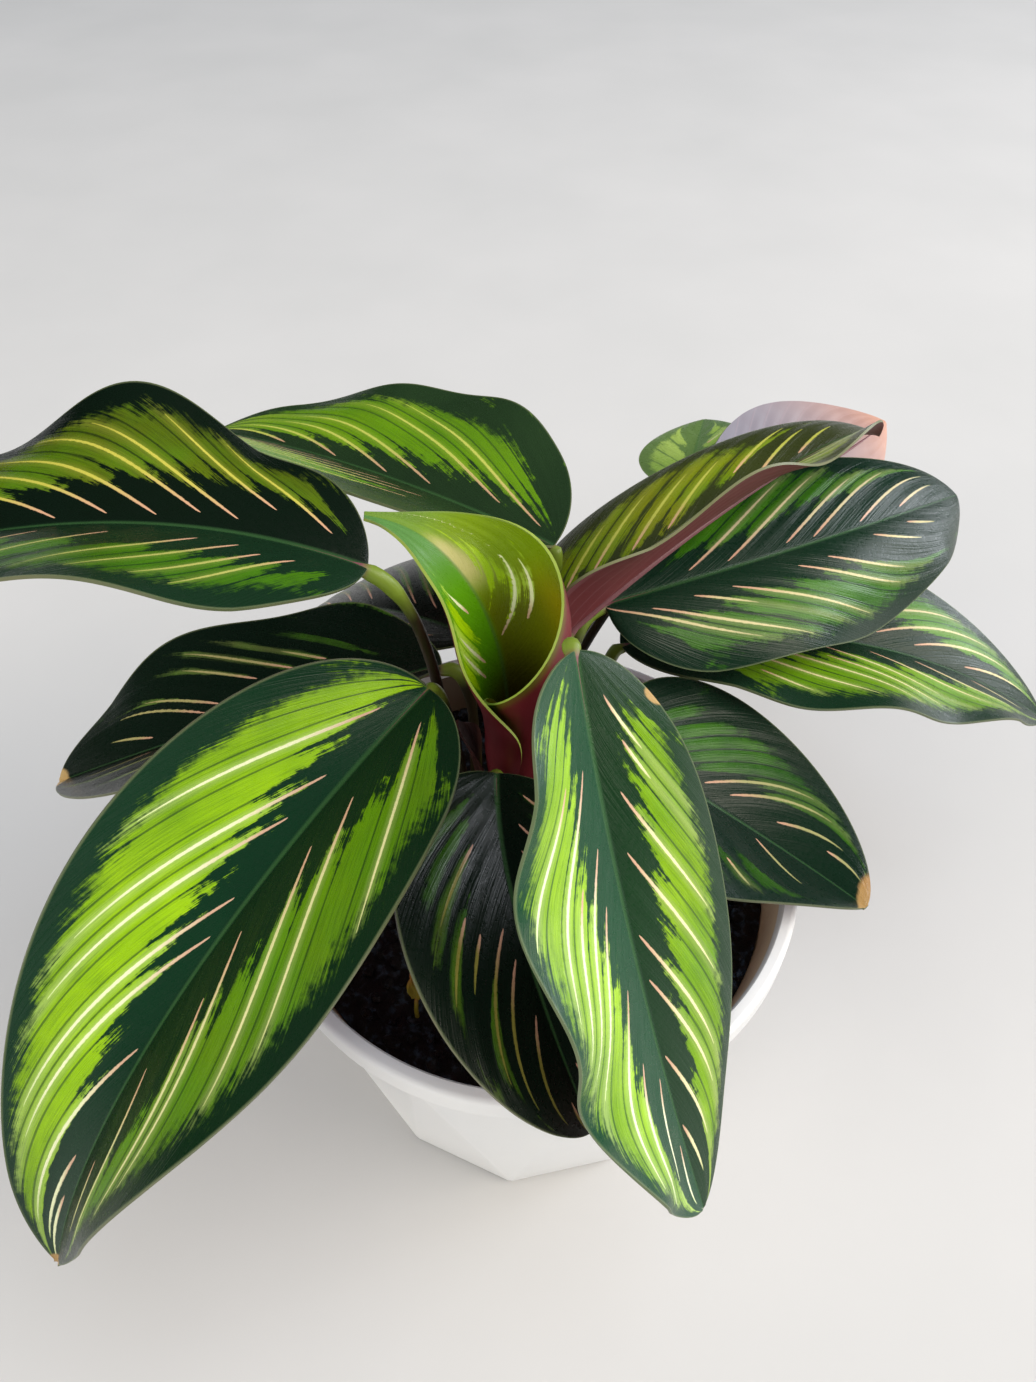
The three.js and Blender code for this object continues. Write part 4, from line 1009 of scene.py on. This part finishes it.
# Dry spots: the brown tips and the tan nick on the margin
dry_ragged = add("Math", {0: ragged, 1: 0.5, 2: mark["dry"]}, operation="MULTIPLY_ADD")
dry = add("MapRange", {"Value": dry_ragged, "From": (0.1, 0.3)})
tan = add("Mix", {"Factor": blotches, "A": "#c4ab70", "B": "#9a6630"})
painted = add("Mix", {"Factor": dry, "A": painted, "B": tan})
gloss = add("MapRange", {"Value": specks, "From": (0.3, 0.7), "To": (0.24, 0.36)})

# Relief: fine grooves beside the veins, a third of a millimetre apart in the real leaf and drawn
# at half a millimetre so that they show, over a skin of fine cells
groove_x = add("Math", {0: vein, 1: 16.0})
groove_y = add("Math", {0: reach, 1: 3.0})
groove_at = add("CombineXYZ", {"X": groove_x, "Y": groove_y, "Z": mark["seed"]})
grooves = add("TexNoise", {"Vector": groove_at, "Scale": 1.0, "Detail": 2.0})
cells = add("Math", {0: specks, 1: 0.35, 2: grooves}, operation="MULTIPLY_ADD")
relief = add("Bump", {"Height": cells, "Strength": 0.35, "Distance": 0.0004})
set_inputs(surface, {
    "Base Color": painted, "Roughness": gloss, "IOR": 1.42, "Specular IOR Level": 0.38, "Normal": relief,
})

# Underside, dull and hairless: wine red over green, paler on the veins
underside, add, surface = new_material("wine-red leaf underside")
vein = add("Attribute", output="Fac", attribute_name="vein")
under = add("Attribute", output="Color", attribute_name="under")
gap = add("Math", {0: vein, 1: 0.5}, operation="PINGPONG")
place = add("TexCoord", output="Object")
clouds = add("TexNoise", {"Vector": place, "Scale": 60.0, "Detail": 4.0})
flushes = add("MapRange", {"Value": clouds, "To": (0, 0.5)})
wine = add("Mix", {"Factor": flushes, "A": under, "B": "#5c2733"})
raised = add("MapRange", {"Value": gap, "From": (0.08, 0.0), "To": (0, 0.13)})
wine = add("Mix", {"Factor": raised, "A": wine, "B": "#b08c92"})
relief = add("Bump", {"Height": raised, "Strength": 0.5, "Distance": 0.0003})
set_inputs(surface, {"Base Color": wine, "Roughness": 0.5, "Normal": relief})

# Margin: a thin cartilage-like line, pale green to buff
margin, add, surface = new_material("pale leaf margin")
place = add("TexCoord", output="Object")
clouds = add("TexNoise", {"Vector": place, "Scale": 120.0, "Detail": 2.0})
buff = add("Mix", {"Factor": clouds, "A": "#5f7040", "B": "#9a9470"})
ground = add("Attribute", output="Color", attribute_name="ground")
buff = add("Mix", {"Factor": 0.5, "A": ground, "B": buff})
set_inputs(surface, {"Base Color": buff, "Roughness": 0.45})

# Stalk: smooth and fleshy, flushed red-brown below and bright olive at the joint under the blade
petiole, add, surface = new_material("flushed green stalk")
along = add("Attribute", output="Fac", attribute_name="along")
place = add("TexCoord", output="Object")
streaks_at = add("Mapping", {"Vector": place, "Scale": (900, 900, 60)})
streaks = add("TexNoise", {"Vector": streaks_at, "Scale": 1.0, "Detail": 3.0})
flushed = add("Mix", {"Factor": streaks, "A": "#1e260c", "B": "#36261a"})
joint = add("MapRange", {"Value": along, "From": (0.7, 0.84)})
stem = add("Mix", {"Factor": joint, "A": flushed, "B": "#6f8424"})
under_blade = add("MapRange", {"Value": along, "From": (1.1, 1.6)})
stem = add("Mix", {"Factor": under_blade, "A": stem, "B": "#74454a"})
relief = add("Bump", {"Height": streaks, "Strength": 0.3, "Distance": 0.0003})
set_inputs(surface, {"Base Color": stem, "Roughness": 0.42, "Normal": relief})


def grow_leaf(name, leaf, rows, form, colours_at, finishes, radii, seed):
    """Builds a blade over its midrib, its stalk and rib, and puts it in its CAD node's place."""
    tangent_at, roll_at, half_at, point_at = form
    frames = midrib_frames(leaf, rows, tangent_at, roll_at)
    marks = []
    paints = []

    def place(along, across):
        frame_here = frames[round(along * rows)]
        t = frame_here[0]
        across = 0.0 if abs(across) < 0.001 else across  # the middle column lies on the midrib
        out = abs(across)
        half = half_at(leaf, t, across)
        number, pitch_here, ends = vein_facts(leaf, t, across, half)
        dry_here = dryness(leaf, t, across, half)
        facts = (number, pitch_here, leaf["flank"], dry_here, SEED_STEP * seed, *ends)
        marks.append((t, out, out * half, (1 - out) * half, *facts))
        paints.append(colours_at(leaf, t, across))
        return point_at(leaf, frame_here, across, number)

    piece = shaped_grid(name + "_blade", rows, BLADE_COLUMNS, place)
    for material in finishes:
        piece.data.materials.append(material)
    close_blade(piece, marks, paints)
    bpy.ops.object.shade_smooth_by_angle(angle=math.radians(60))
    stalk = tube(name + "_stalk", stalk_stations(leaf, frames, *radii))
    stalk.data.materials.append(finishes[3])
    select_only(piece, stalk)
    bpy.ops.object.join()
    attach(piece, "root")
    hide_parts(name)


OPEN_FORM = (open_tangent, open_roll, half_width, blade_point)
LEAF_RADII = (STALK_RADIUS, JOINT_RADIUS, RIB_RADIUS)
LEAF_FINISHES = (blade, underside, margin, petiole)
for seed, (name, leaf) in enumerate(LEAVES.items()):
    grow_leaf(name, leaf, BLADE_ROWS, OPEN_FORM, paint_at, LEAF_FINISHES, LEAF_RADII, seed)

# ---------------------------------------------------------------------------------------------
# The young leaf in the middle of the crown: still half rolled, thin and fresh green, wine red
# outside, with its tip already bent over. The sheath beside it is the brown cup it came out of.

YOUNG_LEAF = leaf_sizes(
    base=(-0.0025, 0.0146, 0.1022), root=(-0.001, 0.014), reach=0.003, length=0.093,
    heading=(147, 142, 144, 149, 163, 182), rise=(80, 85, 84, 68, 45, 14),
    roll=(-24, -30, -23, -24, -10, 18), radius=(0.0057, 0.0065, 0.0077, 0.0115, 0.0128, 0.024),
    left_width=(0.016, 0.021, 0.0225, 0.0185, 0.013, 0.002),
    right_width=(0.015, 0.036, 0.043, 0.035, 0.0115, 0.002), throat=0.12, lap=0.0017,
    sweep=(0.36, 0.42), flank=0.02,
    left=(
        (10,), (22,), (31, 40, 75), (38, 24, 60, 28, 72), (43.3, 20, 57, 22, 70), (50, 20, 64),
        (57.5, 22, 47, 45, 55), (66,),
    ),
    right=(
        (10,), (25,), (38,), (48, 22, 54, 30, 46), (53.2, 4, 47, 8, 40), (57, 22, 36), (61, 5, 44),
        (65.5, 12, 34), (72,),
    ),
)
SHEATH = leaf_sizes(
    base=(-0.011, 0.0108, 0.1), root=(-0.0113, 0.0108), reach=0.002, length=0.034,
    heading=(200, 200, 195, 190), rise=(84, 84, 80, 70), roll=(0, 0, 0, 0),
    radius=(0.0105, 0.0105, 0.0105, 0.0105), left_width=(0.0045, 0.0055, 0.0055, 0.002),
    right_width=(0.005, 0.008, 0.0085, 0.002), throat=0.15, lap=0, sweep=(0.5, 0.5), flank=0.02,
    left=(), right=(),
)
YOUNG_ROWS = 130
YOUNG_STALK_RADIUS = 0.0022
SHEATH_ROWS = 40
SHEATH_STALK_RADIUS = 0.0012


def between(stations, t):
    """A value that runs smoothly through evenly spaced stations."""
    last = len(stations) - 1
    place = min(max(t, 0), 1) * last
    i = min(int(place), last - 1)
    u = place - i
    a, b, c, d = (stations[min(max(k, 0), last)] for k in (i - 1, i, i + 1, i + 2))
    bend = 2 * a - 5 * b + 4 * c - d + u * (3 * b - a - 3 * c + d)
    return b + u * (c - a + u * bend) / 2


def rolled_tangent(leaf, t):
    """Which way the midrib of a rolled leaf runs."""
    return direction(between(leaf["heading"], t), between(leaf["rise"], t))


def rolled_roll(leaf, t):
    """How far a rolled leaf is turned round its midrib."""
    return between(leaf["roll"], t)


def rolled_half(leaf, t, across):
    """How wide a half of a rolled blade is: it flares from nothing out of its throat."""
    flare = math.sin(math.pi / 2 * min(1, t / leaf["throat"]))
    return max(between(leaf["left_width" if across > 0 else "right_width"], t) * flare, LEAST_HALF_WIDTH)


def rolled_point(leaf, frame, across, vein):
    """Where a point of a rolled blade lies: the left half is wrapped outside the right one."""
    t, point, along, side, normal = frame
    radius = between(leaf["radius"], t) + (leaf["lap"] if across > 0 else 0)
    swell = QUILTING * (1 - math.cos(math.tau * vein)) * math.sin(math.pi * abs(across)) * t
    angle = rolled_half(leaf, t, across) / radius * abs(across)
    away = (radius - swell) * math.sin(angle) * (-1 if across < 0 else 1)
    lift = radius - (radius - swell) * math.cos(angle)
    return point + side * away + normal * lift


def ease(low, high, value):
    """0 below low, 1 above high, and a smooth step between them."""
    share = min(max((value - low) / (high - low), 0), 1)
    return share * share * (3 - 2 * share)


def blend_colours(a, b, share):
    """The colour that lies a share of the way from a to b."""
    return [mix_values(x, y, share) for x, y in zip(a, b)]


def young_paint(leaf, t, across):
    """Fresh green on one side of the midrib and gold on the other, dark down in the throat.

    The gold is partly a painted glow of light through the leaf, the dark throat is painted shade,
    and the pale band beside the midrib on the gold side is a painted highlight.
    """
    out = abs(across)
    green = blend_colours(linear("#62a606"), linear("#669a4c"), ease(0.7, 0.88, t))
    gold = blend_colours(linear("#6d7404"), linear("#968a04"), ease(0.25, 0.6, out))
    gold = blend_colours(gold, linear("#86a40a"), ease(0.6, 0.72, t))
    gold = blend_colours(gold, linear("#7da03a"), ease(0.8, 0.92, t))
    # A painted highlight: a pale band beside the midrib on the gold side, where its ridge catches light
    thin = ease(0.66, 0.74, t) * (1 - ease(0.8, 0.88, t)) * (1 - ease(0.12, 0.34, out))
    gold = blend_colours(gold, linear("#cfc877"), thin)
    side = ease(-0.04, 0.04, across)
    ground = blend_colours(gold, green, side)
    lime = blend_colours(linear("#b2d008"), linear("#b4e008"), side)
    # Painted shade down in the throat of the roll
    throat = 1 - ease(0.34, 0.6, t + 0.2 * out)
    shade = linear("#4a3c06")
    return [
        blend_colours(ground, shade, throat),
        blend_colours(lime, shade, throat * 0.5),
        linear("#f0f2c0"),
        blend_colours(linear("#66191f"), linear("#5d5d0a"), ease(0.9, 1.0, out) * (1 - side)),
    ]


# Outside of the young leaf: wine red, olive right under its left lip
young_underside, add, surface = new_material("wine-flushed young leaf")
under = add("Attribute", output="Color", attribute_name="under")
vein = add("Attribute", output="Fac", attribute_name="vein")
place = add("TexCoord", output="Object")
clouds = add("TexNoise", {"Vector": place, "Scale": 90.0, "Detail": 3.0})
flushes = add("MapRange", {"Value": clouds, "From": (0.4, 0.7), "To": (0, 0.5)})
wine = add("Mix", {"Factor": flushes, "A": under, "B": "#82303a"})
ribs_at = add("Math", {0: vein, 1: 1.0}, operation="PINGPONG")
relief = add("Bump", {"Height": ribs_at, "Strength": 0.3, "Distance": 0.0004})
set_inputs(surface, {"Base Color": wine, "Roughness": 0.42, "Normal": relief})

# Lip of the young leaf: a thin pale green line
young_margin, add, surface = new_material("pale green leaf margin")
place = add("TexCoord", output="Object")
clouds = add("TexNoise", {"Vector": place, "Scale": 120.0, "Detail": 2.0})
pale = add("Mix", {"Factor": clouds, "A": "#7d9428", "B": "#a9bb58"})
set_inputs(surface, {"Base Color": pale, "Roughness": 0.4})

# Sheath: thin, dry and fibrous, purple brown with an olive foot, fine ribs along it
sheath_skin, add, surface = new_material("purple-brown fibrous sheath")
along = add("Attribute", output="Fac", attribute_name="along")
offset = add("Attribute", output="Fac", attribute_name="offset")
ribs_x = add("Math", {0: offset, 1: 2200.0})
ribs_y = add("Math", {0: along, 1: 4.0})
ribs_at = add("CombineXYZ", {"X": ribs_x, "Y": ribs_y})
ribs = add("TexNoise", {"Vector": ribs_at, "Scale": 1.0, "Detail": 2.0})
brown = add("Mix", {"Factor": ribs, "A": "#2c1713", "B": "#6b3f37"})
foot = add("MapRange", {"Value": along, "From": (0.5, 0.1), "To": (0, 0.8)})
brown = add("Mix", {"Factor": foot, "A": brown, "B": "#5d6414"})
relief = add("Bump", {"Height": ribs, "Strength": 0.5, "Distance": 0.0003})
set_inputs(surface, {"Base Color": brown, "Roughness": 0.55, "Normal": relief})

ROLLED_FORM = (rolled_tangent, rolled_roll, rolled_half, rolled_point)
YOUNG_RADII = (YOUNG_STALK_RADIUS, YOUNG_STALK_RADIUS, RIB_RADIUS)
YOUNG_FINISHES = (blade, young_underside, young_margin, petiole)
grow_leaf(
    "new_leaf_rolled", YOUNG_LEAF, YOUNG_ROWS, ROLLED_FORM, young_paint, YOUNG_FINISHES, YOUNG_RADII,
    len(LEAVES),
)
grow_leaf(
    "rolled_sheath", SHEATH, SHEATH_ROWS, ROLLED_FORM, young_paint, (sheath_skin,) * 4,
    (SHEATH_STALK_RADIUS, SHEATH_STALK_RADIUS, 0), len(LEAVES),
)

# ---------------------------------------------------------------------------------------------
# Two small bracts: the papery scale leaves at the foot of the crown, olive at the foot and browned
# toward the tip; one leans over the mix.

USUAL_BRACT = dict(
    fullness=0.8, fall=10, curl=(0, 0), sweep=(0.5, 0.5), flank=0.02, left=(), right=(),
)
BRACTS = {
    "crown_bract": leaf_sizes(
        base=(-0.0117, 0.007, 0.1), root=(-0.0115, 0.0072), reach=0.002, length=0.019, width=0.0044,
        peak=0.5, heading=240, rise=88, fold=(20, 20),
        **USUAL_BRACT,
    ),
    "dry_bract": leaf_sizes(
        base=(-0.0255, -0.0398, 0.0985), root=(-0.0256, -0.0406), reach=0.001, length=0.0065,
        width=0.0036, peak=0.4, heading=80, turn=20, rise=66, fold=(30, 30),
        **USUAL_BRACT,
    ),
}
BRACT_ROWS = 36
BRACT_STALK_RADIUS = 0.0005

# Bract: thin dead leaf tissue, matt, with ribs a quarter of a millimetre apart
bract_skin, add, surface = new_material("papery olive bract")
along = add("Attribute", output="Fac", attribute_name="along")
offset = add("Attribute", output="Fac", attribute_name="offset")
ribs_x = add("Math", {0: offset, 1: 4000.0})
ribs_at = add("CombineXYZ", {"X": ribs_x, "Y": along})
ribs = add("TexNoise", {"Vector": ribs_at, "Scale": 1.0, "Detail": 2.0})
olive = add("Mix", {"Factor": ribs, "A": "#5f6a12", "B": "#a07c1c"})
browned = add("MapRange", {"Value": along, "From": (0.45, 0.9), "To": (0, 0.8)})
olive = add("Mix", {"Factor": browned, "A": olive, "B": "#a05e1e"})
relief = add("Bump", {"Height": ribs, "Strength": 0.5, "Distance": 0.0003})
set_inputs(surface, {"Base Color": olive, "Roughness": 0.6, "Normal": relief})

for name, leaf in BRACTS.items():
    grow_leaf(
        name, leaf, BRACT_ROWS, OPEN_FORM, young_paint, (bract_skin,) * 4,
        (BRACT_STALK_RADIUS, BRACT_STALK_RADIUS, 0), 0,
    )
